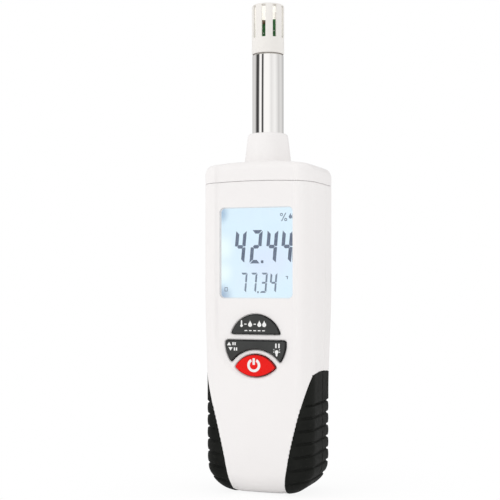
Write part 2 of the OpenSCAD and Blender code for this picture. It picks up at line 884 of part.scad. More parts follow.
module probe_tube() {
    color(steel) difference() {
        union() {
            translate([0, 0, seat_z]) cylinder(r = tube_r, h = tube_high - seat_z);
            translate([0, 0, seat_z - flange_t]) cylinder(r = flange_r, h = flange_t);
        }
        translate([0, 0, case_h]) cylinder(r = bore_r, h = tube_high);
    }
}

module neck_seal() {
    color(black) translate([0, 0, seal_z])
        rotate_extrude() translate([tube_r + seal_r + 0.02, 0]) circle(r = seal_r - 0.02);
}

module tube_retainer() {
    color(steel) translate([0, 0, seat_z - flange_t - retainer_t]) difference() {
        linear_extrude(height = retainer_t) {
            circle(r = flange_r + 0.6);
            square([2*retainer_x, 6], center = true);
            for (s = [-1, 1])
                translate([s*retainer_x, 0]) circle(r = 3);
        }
        translate([0, 0, -1]) cylinder(r = 3.2, h = retainer_t + 2);
        for (s = [-1, 1])
            translate([s*retainer_x, 0, -1]) cylinder(r = small_screw_r + 0.2, h = retainer_t + 2);
    }
}

module retainer_screws() {
    low_z = seat_z - flange_t - retainer_t;
    color(steel) for (s = [-1, 1]) translate([s*retainer_x, 0, low_z]) {
        cylinder(r = small_screw_r, h = 5);
        difference() {
            translate([0, 0, -1.3]) cylinder(r = small_head_r, h = 1.3);
            for (a = [0, 90])
                rotate([0, 0, a]) translate([0, 0, -1.3]) cube([2.4, 0.4, 1.2], center = true);
        }
    }
}

module sensor_holder() {
    color("#e4e4e0") difference() {
        union() {
            translate([0, 0, tube_high - holder_depth]) cylinder(r = bore_r - 0.02, h = holder_depth);
            translate([0, 0, tube_high]) cylinder(r = stub_r, h = stub_h);
        }
        box([-sensor_board_w/2 - 0.05, -sensor_board_t/2 - 0.05, sensor_board_low],
            [sensor_board_w/2 + 0.05, sensor_board_t/2 + 0.05, tube_high + stub_h + 1]);
    }
}

module sensor_board() {
    color("#1d7a3c") box([-sensor_board_w/2, -sensor_board_t/2, sensor_board_low],
                         [sensor_board_w/2, sensor_board_t/2, sensor_board_high]);
}

module humidity_sensor() {
    color("#d9d4c0") box([-2.4, sensor_board_t/2, sensor_board_high - 6.5],
                         [2.4, sensor_board_t/2 + 1, sensor_board_high - 1.5]);
}

// A small bead on two leads, soldered to the front of the sensor board
module temperature_bead() {
    bead_z = sensor_board_high - 1.2;
    bead_x = -1.8;
    color("#7a4a2c") {
        translate([bead_x, -sensor_board_t/2 - 1.1, bead_z]) sphere(r = 1);
        for (s = [-1, 1])
            bar_y(s*0.5 + bead_x, bead_z, 0.2, -sensor_board_t/2 - 1.1, -sensor_board_t/2);
    }
}

module sensor_guard() {
    color(white) difference() {
        translate([0, 0, tube_high]) rotate_extrude() union() {
            square([guard_r, guard_h - 1.2]);
            square([guard_r - 1.2, guard_h]);
            translate([guard_r - 1.2, guard_h - 1.2]) circle(r = 1.2);
        }
        translate([0, 0, tube_high - 1])
            cylinder(r = guard_bore_r, h = guard_h - guard_end_t + 1);
        for (k = [0:slot_count - 1])
            rotate([0, 0, slot_turn + k*360/slot_count])
                box([-slot_w/2, -reach, tube_high + guard_ring_h],
                    [slot_w/2, 0, guard_high - guard_end_t]);
    }
}

module battery() {
    color("#3b3f8c") box([-battery_w/2, battery_front, battery_low], [battery_w/2, battery_back, battery_high]);
    color(steel) {
        translate([-terminal_x, battery_mid, battery_high]) cylinder(r = 2.9, h = terminal_h);
        translate([terminal_x, battery_mid, battery_high]) cylinder(r = 3.9, h = terminal_h);
    }
}

module battery_snap() {
    color(black) difference() {
        union() {
            along_z(snap_low, snap_low + snap_t) translate([0, battery_mid]) rounded_rect(snap_w, snap_d, 3);
            for (s = [-1, 1])
                translate([s*terminal_x, battery_mid, snap_low - terminal_h + 0.4]) cylinder(r = 5.2, h = terminal_h);
        }
        translate([-terminal_x, battery_mid, battery_high]) cylinder(r = 3, h = terminal_h + 0.1);
        translate([terminal_x, battery_mid, battery_high]) cylinder(r = 4, h = terminal_h + 0.1);
    }
}

// Both leads rise out of the snap connector and turn forward into the header
module lead(x) {
    end_y = board_back + lead_header_t;
    cord(x, [[battery_mid, snap_low + snap_t], [battery_mid, lead_z - 6], [battery_mid - 0.6, lead_z - 3.6],
        [battery_mid - 2.2, lead_z - 1.2], [battery_mid - 4.4, lead_z], [end_y + 1, lead_z],
        [end_y, lead_z]], lead_r, 8);
}

module lead_red() color("#c22a22") lead(lead_xs[1]);
module lead_black() color(black) lead(lead_xs[0]);

module lead_header() {
    color("#e9e6da") box([lead_xs[0] - 1.9, board_back, lead_z - 2], [lead_xs[1] + 1.9, board_back + lead_header_t, lead_z + 2]);
}

module battery_door() {
    color(white) difference() {
        union() {
            intersection() {
                difference() {
                    body_form(0, case_h);
                    body_form(door_t, case_h);
                }
                box([-door_w/2, door_front, 0], [door_w/2, reach, door_h]);
            }
            box([-door_w/2 - rail_w, rail_y, rail_low], [door_w/2 + rail_w, rail_y + rail_t, rail_high]);
        }
        // Thumb grooves near the top
        for (k = [0:4])
            box([-7, back_d - 0.6, door_h - 8 - k*2.2], [7, back_d + 1, door_h - 7 - k*2.2]);
    }
}

module door_pad() {
    color("#55585c") box([-door_w/3, back_d - door_t - pad_t, door_h/3],
                         [door_w/3, back_d - door_t, 0.75*door_h]);
}

module housing_screws() {
    head_y = back_d - screw_sink - screw_head_t;
    color(steel) for (s = [-1, 1], z = boss_zs) {
        bar_y(s*boss_x, z, screw_r, screw_end_y, head_y);
        difference() {
            bar_y(s*boss_x, z, screw_head_r, head_y, head_y + screw_head_t);
            cross_recess(s*boss_x, z, head_y + screw_head_t, 1.6);
        }
    }
}

front_housing();
rear_housing();
top_cap();
grip(-1);  // grip_left
grip(1);  // grip_right
display_window();
window_gasket();
display_glass();
display_frame();
backlight_panel();
backlight_lamps();
contact_strips();
main_board();
meter_chip();
quartz_crystal();
capacitors();
board_screws();
keypad_mat();
units_key();
rocker_key();
power_key();
sensor_socket();
sensor_plug();
sensor_cable();
probe_tube();
neck_seal();
tube_retainer();
retainer_screws();
sensor_holder();
sensor_board();
humidity_sensor();
temperature_bead();
sensor_guard();
battery();
battery_snap();
lead_red();
lead_black();
lead_header();
battery_door();
door_pad();
housing_screws();
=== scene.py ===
"""Looks of the handheld thermo-hygrometer: shells, grips, keys, display, probe and studio."""

import json
import math

import bpy
import numpy as np
from mathutils import Matrix, Vector


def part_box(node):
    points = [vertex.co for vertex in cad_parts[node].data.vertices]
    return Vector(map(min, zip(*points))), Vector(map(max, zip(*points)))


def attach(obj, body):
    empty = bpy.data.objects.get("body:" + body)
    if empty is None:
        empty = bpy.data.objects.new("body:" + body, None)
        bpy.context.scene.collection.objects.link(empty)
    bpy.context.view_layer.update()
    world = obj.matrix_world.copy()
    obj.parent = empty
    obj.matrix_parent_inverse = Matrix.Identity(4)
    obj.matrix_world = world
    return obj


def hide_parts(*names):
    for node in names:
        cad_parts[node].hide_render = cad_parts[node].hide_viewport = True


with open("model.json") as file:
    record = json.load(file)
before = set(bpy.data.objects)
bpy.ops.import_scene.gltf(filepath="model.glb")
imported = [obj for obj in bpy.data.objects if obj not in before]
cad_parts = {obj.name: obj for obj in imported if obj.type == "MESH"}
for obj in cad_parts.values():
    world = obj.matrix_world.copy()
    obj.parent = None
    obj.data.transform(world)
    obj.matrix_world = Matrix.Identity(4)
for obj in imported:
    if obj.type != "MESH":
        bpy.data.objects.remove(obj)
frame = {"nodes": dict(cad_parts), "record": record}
bpy.ops.object.select_all(action="DESELECT")
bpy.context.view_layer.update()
nodes = frame["nodes"]

MM = 0.001


def box_mm(node):
    """Lowest and highest corner of a CAD node, in millimetres."""
    low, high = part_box(node)
    return np.array(low) / MM, np.array(high) / MM


# Sizes of the case in millimetres, read from the frame where it carries them
front_low, front_high = box_mm("front_housing")
guard_low, guard_high = box_mm("sensor_guard")
window_low, window_high = box_mm("display_window")
glass_low, glass_high = box_mm("display_glass")
cap_low = front_high[2]
case_w = 2 * front_high[0]
foot_w = case_w - 2.8
parting_y = front_high[1]
back_y = box_mm("rear_housing")[1][1]
panel_y = -17.5
front_flat_y = -18.2
belly_y = front_low[1]
key_face_y = -18.7
wall = 2.4
flat_half = 20.4
bevel_slope = math.tan(math.radians(20))
bevel_soft = 0.5
side_draw = 1.5
front_corner_r = 3.0
front_corner_y = -12.8
rear_corner_r = 6
rear_corner_y = 8.6
corner_soft = 0.4
belly_cross_r = 150
belly_long_r = 250
belly_corner_r = 6
belly_z = 30
belly_fade_z = (36, 76)
upper_from_z = (48, 82)
taper_z = (45, 95)
foot_r = 14.6
toe_r = 10.5
heel_rear_r = 8
panel_turn_z = 72
recess_edge = (17.8, 19.8)
seam_bow = 0.35
seam_bow_r = 360
seam_chamfer = 0.25
seam_gap = 0.16


def eased(t):
    """A ramp from 0 to 1 with soft ends."""
    t = np.clip(t, 0, 1)
    return t * t * (3 - 2 * t)


def slope(t, soft):
    """A straight ramp from 0 to 1, rounded over a share of its length at both ends."""
    t = np.clip(t, 0, 1)
    low = t * t / (2 * soft)
    high = 1 - soft - (1 - t) ** 2 / (2 * soft)
    middle = t - soft / 2
    return np.where(t < soft, low, np.where(t > 1 - soft, high, middle)) / (1 - soft)


def soft_min(a, b, width):
    """The lower of two surfaces, with a fillet where they meet."""
    h = np.clip(width - np.abs(a - b), 0, None) / width
    return np.minimum(a, b) - h * h * width / 4


def rounded_and(a, b, radius):
    """Inside both forms, with a round edge where they meet."""
    inner = np.minimum(np.maximum(a, b), -radius)
    return inner + np.hypot(np.maximum(a + radius, 0), np.maximum(b + radius, 0))


def between(z, span):
    """A soft ramp from 0 to 1 between two heights."""
    return eased((z - span[0]) / (span[1] - span[0]))


def fall(offset, radius):
    """How far a circle of this radius falls away at an offset from its top."""
    return radius - np.sqrt(radius**2 - offset**2)


def quarter(z, radius):
    """How far a round bottom edge draws in at height z."""
    return fall(np.clip(radius - z, 0, radius), radius)


def half_width(z):
    """Half the width of the case at height z."""
    return (foot_w + (case_w - foot_w) * between(z, taper_z)) / 2 - quarter(z, foot_r)


def front_y(x, z):
    """Depth of the front face: flat with bevelled sides, a fuller lower front, and the recess."""
    high = between(z, upper_from_z)
    over = np.abs(x) - flat_half
    bevel = bevel_slope * (over + np.hypot(over, bevel_soft)) / 2
    across = fall(x, belly_cross_r)
    along = fall(np.minimum(z, belly_z) - belly_z, belly_long_r)
    middle = belly_y + (front_flat_y - belly_y) * between(z, belly_fade_z)
    face = middle + along + across * (1 - high) + bevel * high
    edge = np.where(z > panel_turn_z, np.abs(x), np.hypot(x, z - panel_turn_z))
    sunk = slope((recess_edge[1] - edge) / (recess_edge[1] - recess_edge[0]), 0.22)
    return face + (np.maximum(face, panel_y) - face) * sunk


def case_gap(p):
    """How far points lie outside the case's skin, section by section."""
    x, y, z = p[..., 0], p[..., 1], p[..., 2]
    high = between(z, upper_from_z)
    draw = side_draw * high * np.clip((parting_y - 1 - y) / 16, 0, 1.2) ** 1.3
    side = np.abs(x) - half_width(z) + draw
    roundness = np.sqrt(1 - (1 - np.clip(z / 8, 0, 1)) ** 2)
    corner = (front_corner_r + (belly_corner_r - front_corner_r) * (1 - high)) * roundness + corner_soft
    front = front_y(x, z) + quarter(z, toe_r) - y
    rear = y - back_y + quarter(z, heel_rear_r)
    rear_corner = rear_corner_r * roundness + corner_soft
    return np.maximum(rounded_and(side, front, corner), rounded_and(side, rear, rear_corner))


def cast(origin, heading, gap, reach=45.0):
    """Where rays that start inside a form leave it."""
    near = np.zeros(origin.shape[:-1])
    far = near + reach
    for _ in range(40):
        middle = (near + far) / 2
        inside = gap(origin + heading * middle[..., None]) <= 1e-5
        near = np.where(inside, middle, near)
        far = np.where(inside, far, middle)
    return origin + heading * near[..., None]


def toe_lean(z):
    """How much of the front's depth the round toe leaves at height z."""
    return 1 - quarter(z, toe_r) / (parting_y - belly_y)


def lean_of(w):
    """How far a section's inner points keep out, less where the foot draws in."""
    return np.clip(w / (case_w / 2), 0.3, 1)


def whole_row(right, z):
    """The rays of a row at height z, from those of its right half."""
    left = [((-x, y), (-across, deep)) for (x, y), (across, deep) in reversed(right[:-1])]
    rays = right + left
    return [(*start, z) for start, aim in rays], [(*aim, 0.0) for start, aim in rays]


def front_rays(z):
    """Rays for one row of the front shell, from the parting line round the front and back."""
    w = half_width(z)
    inner = w - 4.6 * lean_of(w)
    side_ys = [parting_y, parting_y - seam_chamfer, 0.4, -1.5, -3.5, -5.5, -7.5, -9.5, -11.5]
    side = [((0, y), (1, 0)) for y in side_ys]
    turn = [math.radians(a) for a in np.linspace(0, 90, 21)]
    corner = [((inner, front_corner_y), (math.cos(a), -math.sin(a))) for a in turn]
    steps = np.concatenate([np.linspace(1.0, 0.54, 56), np.linspace(0.5, 0, 11)])
    face = [((inner * s, -6.0), (0, -1)) for s in steps]
    deep = toe_lean(z)
    right = [((x, parting_y + (y - parting_y) * deep), aim) for (x, y), aim in side + corner + face]
    return whole_row(right, z)


def rear_rays(z):
    """Rays for one row of the rear shell."""
    w = half_width(z)
    inner = w - 8 * lean_of(w)
    side = [((0, y), (1, 0)) for y in (parting_y, parting_y + seam_chamfer, 3, 5, 7)]
    turn = [math.radians(a) for a in np.linspace(0, 90, 15)]
    corner = [((inner, rear_corner_y), (math.cos(a), math.sin(a))) for a in turn]
    face = [((inner * s, 7.0), (0, 1)) for s in np.linspace(0.95, 0, 14)]
    return whole_row(side + corner + face, z)


def rows_of(heights, rays):
    origin, heading = zip(*(rays(z) for z in heights))
    return np.array(origin, float), np.array(heading, float)


def grid_quads(rows, cols, first=0, flip=False):
    """Faces of a grid of points, row by row."""
    quads = []
    for r in range(rows - 1):
        for c in range(cols - 1):
            a = first + r * cols + c
            quad = (a, a + 1, a + cols + 1, a + cols)
            quads.append(quad[::-1] if flip else quad)
    return quads


def wall_quads(rows, cols, closed_rows):
    """Faces of a wall: an outer and an inner grid, joined along some rows and both side edges."""
    count = rows * cols
    quads = grid_quads(rows, cols) + grid_quads(rows, cols, count, True)
    for c in range(cols - 1):
        for r in closed_rows:
            a = r * cols + c
            quads.append((a, a + 1, count + a + 1, count + a))
    for r in range(rows - 1):
        for c in (0, cols - 1):
            a, b = r * cols + c, (r + 1) * cols + c
            quads.append((a, b, count + b, count + a))
    return quads


def ring_quads(rings, count, closed=False):
    """Faces between rings of points, and from the last ring back to the first in a closed form."""
    quads = []
    for r in range(rings if closed else rings - 1):
        s = (r + 1) % rings
        for c in range(count):
            d = (c + 1) % count
            quads.append((r * count + c, r * count + d, s * count + d, s * count + c))
    return quads


def new_mesh(name, points, faces):
    """A mesh object from points in millimetres, with its normals turned outwards."""
    mesh = bpy.data.meshes.new(name)
    mesh.from_pydata([tuple(float(v) * MM for v in p) for p in points], [], faces)
    mesh.validate()
    piece = bpy.data.objects.new(name, mesh)
    bpy.context.scene.collection.objects.link(piece)
    only(piece)
    bpy.ops.object.mode_set(mode="EDIT")
    bpy.ops.mesh.select_all(action="SELECT")
    bpy.ops.mesh.normals_make_consistent(inside=False)
    bpy.ops.object.mode_set(mode="OBJECT")
    return piece


def only(piece):
    """Select one object and nothing else."""
    bpy.ops.object.select_all(action="DESELECT")
    piece.select_set(True)
    bpy.context.view_layer.objects.active = piece


def smooth(piece, degrees=32):
    only(piece)
    bpy.ops.object.shade_smooth_by_angle(angle=math.radians(degrees))


def cut(piece, cutter, operation="DIFFERENCE"):
    """Cut one mesh with another, then remove the cutter."""
    only(piece)
    modifier = piece.modifiers.new("cut", "BOOLEAN")
    modifier.operation = operation
    modifier.solver = "EXACT"
    modifier.object = cutter
    bpy.ops.object.modifier_apply(modifier=modifier.name)
    bpy.data.objects.remove(cutter)
    return piece


def block(name, low, high):
    """A plain block between two corners in millimetres, as a cutter."""
    low, high = np.array(low, float), np.array(high, float)
    bpy.ops.mesh.primitive_cube_add(size=1, location=tuple((low + high) / 2 * MM))
    piece = bpy.context.object
    piece.name = name
    piece.scale = tuple((high - low) * MM)
    bpy.ops.object.transform_apply(location=True, rotation=True, scale=True)
    return piece


def rod(name, r, low, high, axis="Z", count=64, place=(0, 0)):
    """A round bar along an axis, between two heights, as a cutter or a blank."""
    middle = (low + high) / 2
    right_angle = math.pi / 2
    where, turn = {
        "Z": ((*place, middle), (0, 0, 0)),
        "Y": ((place[0], middle, place[1]), (right_angle, 0, 0)),
        "X": ((middle, *place), (0, right_angle, 0)),
    }[axis]
    bpy.ops.mesh.primitive_cylinder_add(
        vertices=count,
        radius=r * MM,
        depth=(high - low) * MM,
        location=tuple(v * MM for v in where),
        rotation=turn,
    )
    piece = bpy.context.object
    piece.name = name
    bpy.ops.object.transform_apply(location=True, rotation=True, scale=True)
    return piece


def copy_of(piece, name):
    twin = piece.copy()
    twin.data = piece.data.copy()
    twin.name = name
    bpy.context.scene.collection.objects.link(twin)
    return twin


def soften(piece, width, segments=2, degrees=40):
    """Bevel the sharp edges of a piece."""
    only(piece)
    modifier = piece.modifiers.new("soft_edges", "BEVEL")
    modifier.width = width * MM
    modifier.segments = segments
    modifier.limit_method = "ANGLE"
    modifier.angle_limit = math.radians(degrees)
    bpy.ops.object.modifier_apply(modifier=modifier.name)
    return piece


# Outlines of the window and the keys, as points [x, z] in millimetres
def arc(cx, cz, r, start, end, count):
    return [
        (cx + r * math.cos(math.radians(a)), cz + r * math.sin(math.radians(a)))
        for a in np.linspace(start, end, count)
    ]


def rounded_outline(half_w, low, high, r, count=7):
    points = []
    for cx, cz, a in (
        (half_w - r, high - r, 0),
        (r - half_w, high - r, 90),
        (r - half_w, low + r, 180),
        (half_w - r, low + r, 270),
    ):
        points += arc(cx, cz, r, a, a + 90, count)
    return points


units_flat_z = box_mm("units_key")[0][2] + 1.35
units_r = 12.0
rocker_high = box_mm("rocker_key")[1][2] - 1.3
rocker_r = 14.3
rocker_hollow_r = 14.4
rocker_hollow_drop = 17.1
power_mid_z = box_mm("power_key")[0][2] + 0.9 + 4.2
power_half = 9.6


def degrees_of(side, hypotenuse):
    return math.degrees(math.asin(side / hypotenuse))


def units_outline(g=0.0):
    """Half-moon of the upper key, with its two lower corners softened."""
    centre = units_flat_z - 3.4
    r = units_r + g
    low = units_flat_z - g
    start = degrees_of(low - centre, r)
    half = math.sqrt(r * r - (low - centre) ** 2)
    soft = 0.7
    corners = [(-half + 0.1, low + 0.25), (-half + soft, low), (half - soft, low), (half - 0.1, low + 0.25)]
    return arc(0, centre, r, start + 3.5, 176.5 - start, 41) + corners


def rocker_outline(g=0.0):
    """Band of the middle key, round at its outer ends and hollow below."""
    centre = rocker_high - 1.1
    r = rocker_r + g
    hollow_r = rocker_hollow_r - g
    hollow_z = centre - rocker_hollow_drop
    meet = (hollow_r**2 - r**2 - rocker_hollow_drop**2) / (2 * rocker_hollow_drop)
    low = centre + max(-8.4 - g, meet + 0.12)
    high = rocker_high + g
    top = degrees_of(high - centre, r)
    bottom = degrees_of(low - centre, r)
    right = arc(0, centre, r, bottom + 2, top - 3, 17)
    half = math.sqrt(r * r - (high - centre) ** 2)
    corner = [(half - 0.35, high - 0.25), (half - 1.0, high)]
    left = [(-x, z) for x, z in reversed(right + corner)]
    reach = math.degrees(math.acos((low - hollow_z) / hollow_r))
    inner_half = hollow_r * math.sin(math.radians(reach))
    outer_half = math.sqrt(r * r - (low - centre) ** 2)
    foot = (inner_half + outer_half) / 2
    arch = arc(0, hollow_z, hollow_r, 90 + reach - 1.2, 90 - reach + 1.2, 31)
    return right + corner + left + [(-foot, low)] + arch + [(foot, low)]


def power_outline(g=0.0):
    """Lens of the power key."""
    rise, drop = 5.7, 4.2
    upper_r = (power_half**2 + rise**2) / (2 * rise)
    lower_r = (power_half**2 + drop**2) / (2 * drop)
    upper_c = power_mid_z + rise - upper_r
    lower_c = power_mid_z - drop + lower_r
    upper_r += g
    lower_r += g
    a = degrees_of(power_mid_z - upper_c, upper_r)
    b = degrees_of(lower_c - power_mid_z, lower_r)
    lower = arc(0, lower_c, lower_r, 180 + b, 360 - b, 33)
    return arc(0, upper_c, upper_r, a, 180 - a, 33) + lower[1:-1]


def prism(name, outline, ys, grow=None):
    """A closed prism along Y through an outline, one ring of points per depth in ys."""
    rings = []
    for k, y in enumerate(ys):
        ring = outline(grow[k]) if callable(outline) else outline
        rings.append([(x, y, z) for x, z in ring])
    count = len(rings[0])
    faces = ring_quads(len(rings), count)
    faces.append(tuple(range(count)))
    faces.append(tuple(range((len(rings) - 1) * count, len(rings) * count))[::-1])
    return new_mesh(name, [p for ring in rings for p in ring], faces)


# Where the rubber grips lie, seen from the front and from the side
grip_high = 56.2
grip_arch_front, grip_arch_rear = 60, 90
grip_rear_x = 16.5
grip_foot_x = foot_w / 2 - 14.1
grip_top_x = foot_w / 2 - 2.2
grip_chord = np.array([grip_top_x - grip_foot_x, 50.0])
grip_chord_len = np.linalg.norm(grip_chord)
grip_bow = 1.1
grip_arc_r = (grip_chord_len**2 / 4 + grip_bow**2) / (2 * grip_bow)
grip_across = np.array([grip_chord[1], -grip_chord[0]]) / grip_chord_len
grip_centre = np.array([grip_foot_x, 0]) + grip_chord / 2 + grip_across * (grip_arc_r - grip_bow)


def grip_edge_x(z):
    """The grip's inner edge on the front, at height z."""
    edge = grip_centre[0] - np.sqrt(grip_arc_r**2 - (z - grip_centre[1]) ** 2)
    low = np.clip(1 - z / 5, 0, 1)
    turned = 2.2 * (1 - np.sqrt(1 - low**2))
    return np.minimum(edge + turned, half_width(z) - 0.3)


def grip_arch_z(y):
    """The grip's upper edge, seen from the side."""
    return grip_high - (y + 1) ** 2 / (2 * np.where(y < -1, grip_arch_front, grip_arch_rear))


def grip_depth(p):
    """How far inside a grip's outline a point of the skin lies."""
    x, y, z = np.abs(p[..., 0]), p[..., 1], p[..., 2]
    front = x - grip_edge_x(z) + np.clip(y + 12.5, 0, 4)
    side = np.where(y < parting_y, front, x - grip_rear_x)
    return np.minimum(side, grip_arch_z(y) - z)


def under_grip(p):
    """How deep the white shell steps back below a grip."""
    inside = grip_depth(p)
    return 0.06 * (inside > -0.1) + 1.3 * eased((inside - 0.5) / 0.5)


def bowed(points):
    """Let the seam under the cap bow upwards in the middle, and the skin near it follow."""
    bow = seam_bow - points[:, 0] ** 2 / (2 * seam_bow_r)
    z = points[:, 2]
    points[:, 2] = z + bow * np.minimum(eased((z - 131) / 11), eased((150 - z) / 8))
    return points


def shell(name, rays, heights):
    """A closed wall with the case's skin outside: rows of points outside and inside."""
    origin, heading = rows_of(heights, rays)
    rim = np.zeros(len(heights))
    rim[-1] = seam_chamfer
    edge = np.zeros(origin.shape[1])
    edge[[0, -1]] = seam_chamfer
    inset = np.maximum(rim[:, None], edge[None, :])
    outer = cast(origin, heading, case_gap)
    drawn = inset + under_grip(outer)
    outer = cast(origin, heading, lambda p: case_gap(p) + drawn)
    inner_heights = np.clip(heights, wall, None)
    start, aim = rows_of(inner_heights, rays)
    inner = cast(start, aim, lambda p: case_gap(p) + wall + 1.4 * (grip_depth(p) > -1))
    rows, cols = outer.shape[:2]
    count = rows * cols
    points = bowed(np.concatenate([outer.reshape(-1, 3), inner.reshape(-1, 3)]))
    faces = wall_quads(rows, cols, (rows - 1,))
    faces.append(tuple(range(cols)))
    faces.append(tuple(range(count, count + cols)))
    faces.append((0, cols - 1, count + cols - 1, count))
    return new_mesh(name, points, faces)


def shell_heights(fine_low, fine_high):
    """Heights of the rows: fine on the round foot and where the panel ends."""
    foot = [foot_r * (1 - math.cos(math.radians(a))) for a in np.linspace(0, 90, 26)]
    plain = list(np.arange(16, fine_low, 2.0))
    fine = list(np.arange(fine_low, fine_high, 0.5))
    upper = list(np.linspace(fine_high, cap_low - seam_gap - seam_chamfer, 34))
    return np.array(foot + plain + fine + upper + [cap_low - seam_gap])


# Front housing, with the window's opening and its seat, and the flared holes of the keys
front_shell = shell("front_shell", front_rays, shell_heights(40, 78))
window_grow = 0.25


def window_hole(name, grow, corner_r, inner_y):
    outline = rounded_outline(window_high[0] + grow, window_low[2] - grow, window_high[2] + grow, corner_r)
    return prism(name, outline, [-25, inner_y])


cut(front_shell, window_hole("window_cut", -0.1, 1.9, 0))
cut(front_shell, window_hole("window_seat", window_grow, 2.1, window_high[1]))
key_gap = 0.3
for outline, name in ((units_outline, "units"), (rocker_outline, "rocker"), (power_outline, "power")):
    depths = [-19, panel_y + 0.02, panel_y + 0.35, -5]
    flare = prism(name + "_cut", outline, depths, [0.75, 0.72, key_gap, key_gap])
    cut(front_shell, flare)
smooth(front_shell)

# Rear housing, with the door cut out of the same skin
rear_shell = shell("rear_shell", rear_rays, shell_heights(40, 66))
door_half = 14.2
door_top = box_mm("battery_door")[1][2]
door_gap = 0.2
door = copy_of(rear_shell, "door")
cut(door, block("door_blank", (-door_half, 9.7, -1), (door_half, 20, door_top)), "INTERSECT")
opening_half = door_half + door_gap
cut(rear_shell, block("door_opening", (-opening_half, 9.5, -2), (opening_half, 20, door_top + door_gap)))
for k in range(5):
    cut(door, rod("thumb_groove", 0.95, -7, 7, "X", 32, (back_y + 0.35, 51.5 - 2.2 * k)))
cut(door, prism("arrow_cut", [(-2.2, 38.6), (2.2, 38.6), (0, 35.8)], [back_y - 0.3, back_y + 1]))
screw_low, screw_high = box_mm("housing_screws")
screw_r = 2.4
for x in (screw_low[0] + screw_r, screw_high[0] - screw_r):
    for z in (screw_low[2] + screw_r, screw_high[2] - screw_r):
        cut(rear_shell, rod("screw_sink", screw_r + 0.2, back_y - 1.9, back_y + 1, "Y", 48, (x, z)))
smooth(rear_shell)
smooth(door)

# Cap and neck
cap_top = cap_low + 10.4
cap_roof_from = cap_low + 2.6
cap_crown_r = 100
cap_edge_r = 3
neck_low_r = 10.75
neck_top_r = 9.4
neck_wall = 1.7
neck_high = box_mm("top_cap")[1][2]


def cap_shell():
    """The domed cap with its tapered neck, as one closed grid of rings."""
    straight_z = 130.0
    front_o, front_h = front_rays(straight_z)
    rear_o, rear_h = rear_rays(straight_z)

    def round_trip(front, rear):
        whole = front[:1] + front[2:-2] + front[-1:] + list(reversed(rear[2:-2]))
        return np.array(whole, float)

    base_o, heading = round_trip(front_o, rear_o), round_trip(front_h, rear_h)
    heading /= np.linalg.norm(heading, axis=1)[:, None]

    def level(points, z):
        ring = points.copy()
        ring[..., 2] = z
        return ring

    def gap(p):
        roof = cap_top + soft_min(-fall(p[..., 0], cap_crown_r), -fall(p[..., 1], cap_crown_r), 2.0)
        return rounded_and(case_gap(level(p, cap_low - 10)), p[..., 2] - roof, cap_edge_r)

    rings = [cast(level(base_o, cap_low), heading, lambda p: gap(p) + seam_chamfer)]
    for z in (cap_low + seam_chamfer, *np.linspace(cap_low + 1, cap_roof_from, 3)):
        rings.append(cast(level(base_o, z), heading, gap))
    lower_o = level(base_o, cap_low - 8)
    inner = cast(lower_o * [0.7, 0.7, 1], heading, lambda p: case_gap(p) + 6.5)
    inner = level(inner, cap_roof_from)
    outward = level(rings[-1] - inner, 0)
    outward /= np.linalg.norm(outward, axis=1)[:, None]
    up = np.array([0, 0, 1.0])
    for a in np.linspace(6, 90, 15):
        tilt = math.cos(math.radians(a)) * outward + math.sin(math.radians(a)) * up
        rings.append(cast(inner, tilt, gap))
    turn = np.arctan2(inner[:, 1], inner[:, 0])
    circle = np.stack([np.cos(turn), np.sin(turn), turn * 0], axis=1)
    for t in np.linspace(0, 1, 7)[1:]:
        origin = level(inner * (1 - t) + circle * (neck_low_r + 1.0) * t, cap_roof_from)
        rings.append(cast(origin, np.tile(up, (len(origin), 1)), gap))
    root = rings[-1][:, 2]
    for r, rise in ((0.45, 0.12), (0.12, 0.45), (0.0, 1.0)):
        rings.append(level(circle * (neck_low_r + r), root + rise))
    for t in np.linspace(0, 1, 9)[1:]:
        r = neck_low_r + (neck_top_r - neck_low_r) * t
        rings.append(level(circle * r, (root + 1.0) * (1 - t) + (neck_high - 1.4) * t))
    lip = [(0.12, 0.9), (0.4, 0.45), (0.8, 0.12), (1.15, 0.0), (1.6, 0.0), (1.68, 0.12), (neck_wall, 0.5)]
    for r, drop in [*lip, (neck_wall, 8), (neck_wall, neck_high - cap_low - 6)]:
        rings.append(level(circle * (neck_top_r - r), neck_high - drop))
    lining = cast(lower_o, heading, lambda p: case_gap(p) + wall + 0.3)
    rings += [level(lining, cap_low + 4), level(lining, cap_low)]
    faces = ring_quads(len(rings), len(rings[0]), True)
    return new_mesh("cap_shell", bowed(np.concatenate(rings)), faces)


top_shell = cap_shell()
smooth(top_shell)


# Rubber grips
groove_count = 7
groove_top_z = 41.4
groove_pitch = 5.6
groove_tilt = math.radians(1.5)
groove_half = 0.62
groove_depth = 0.7
rib_swell = 0.4
grip_rim_r = 0.3
grip_thick = 1.15


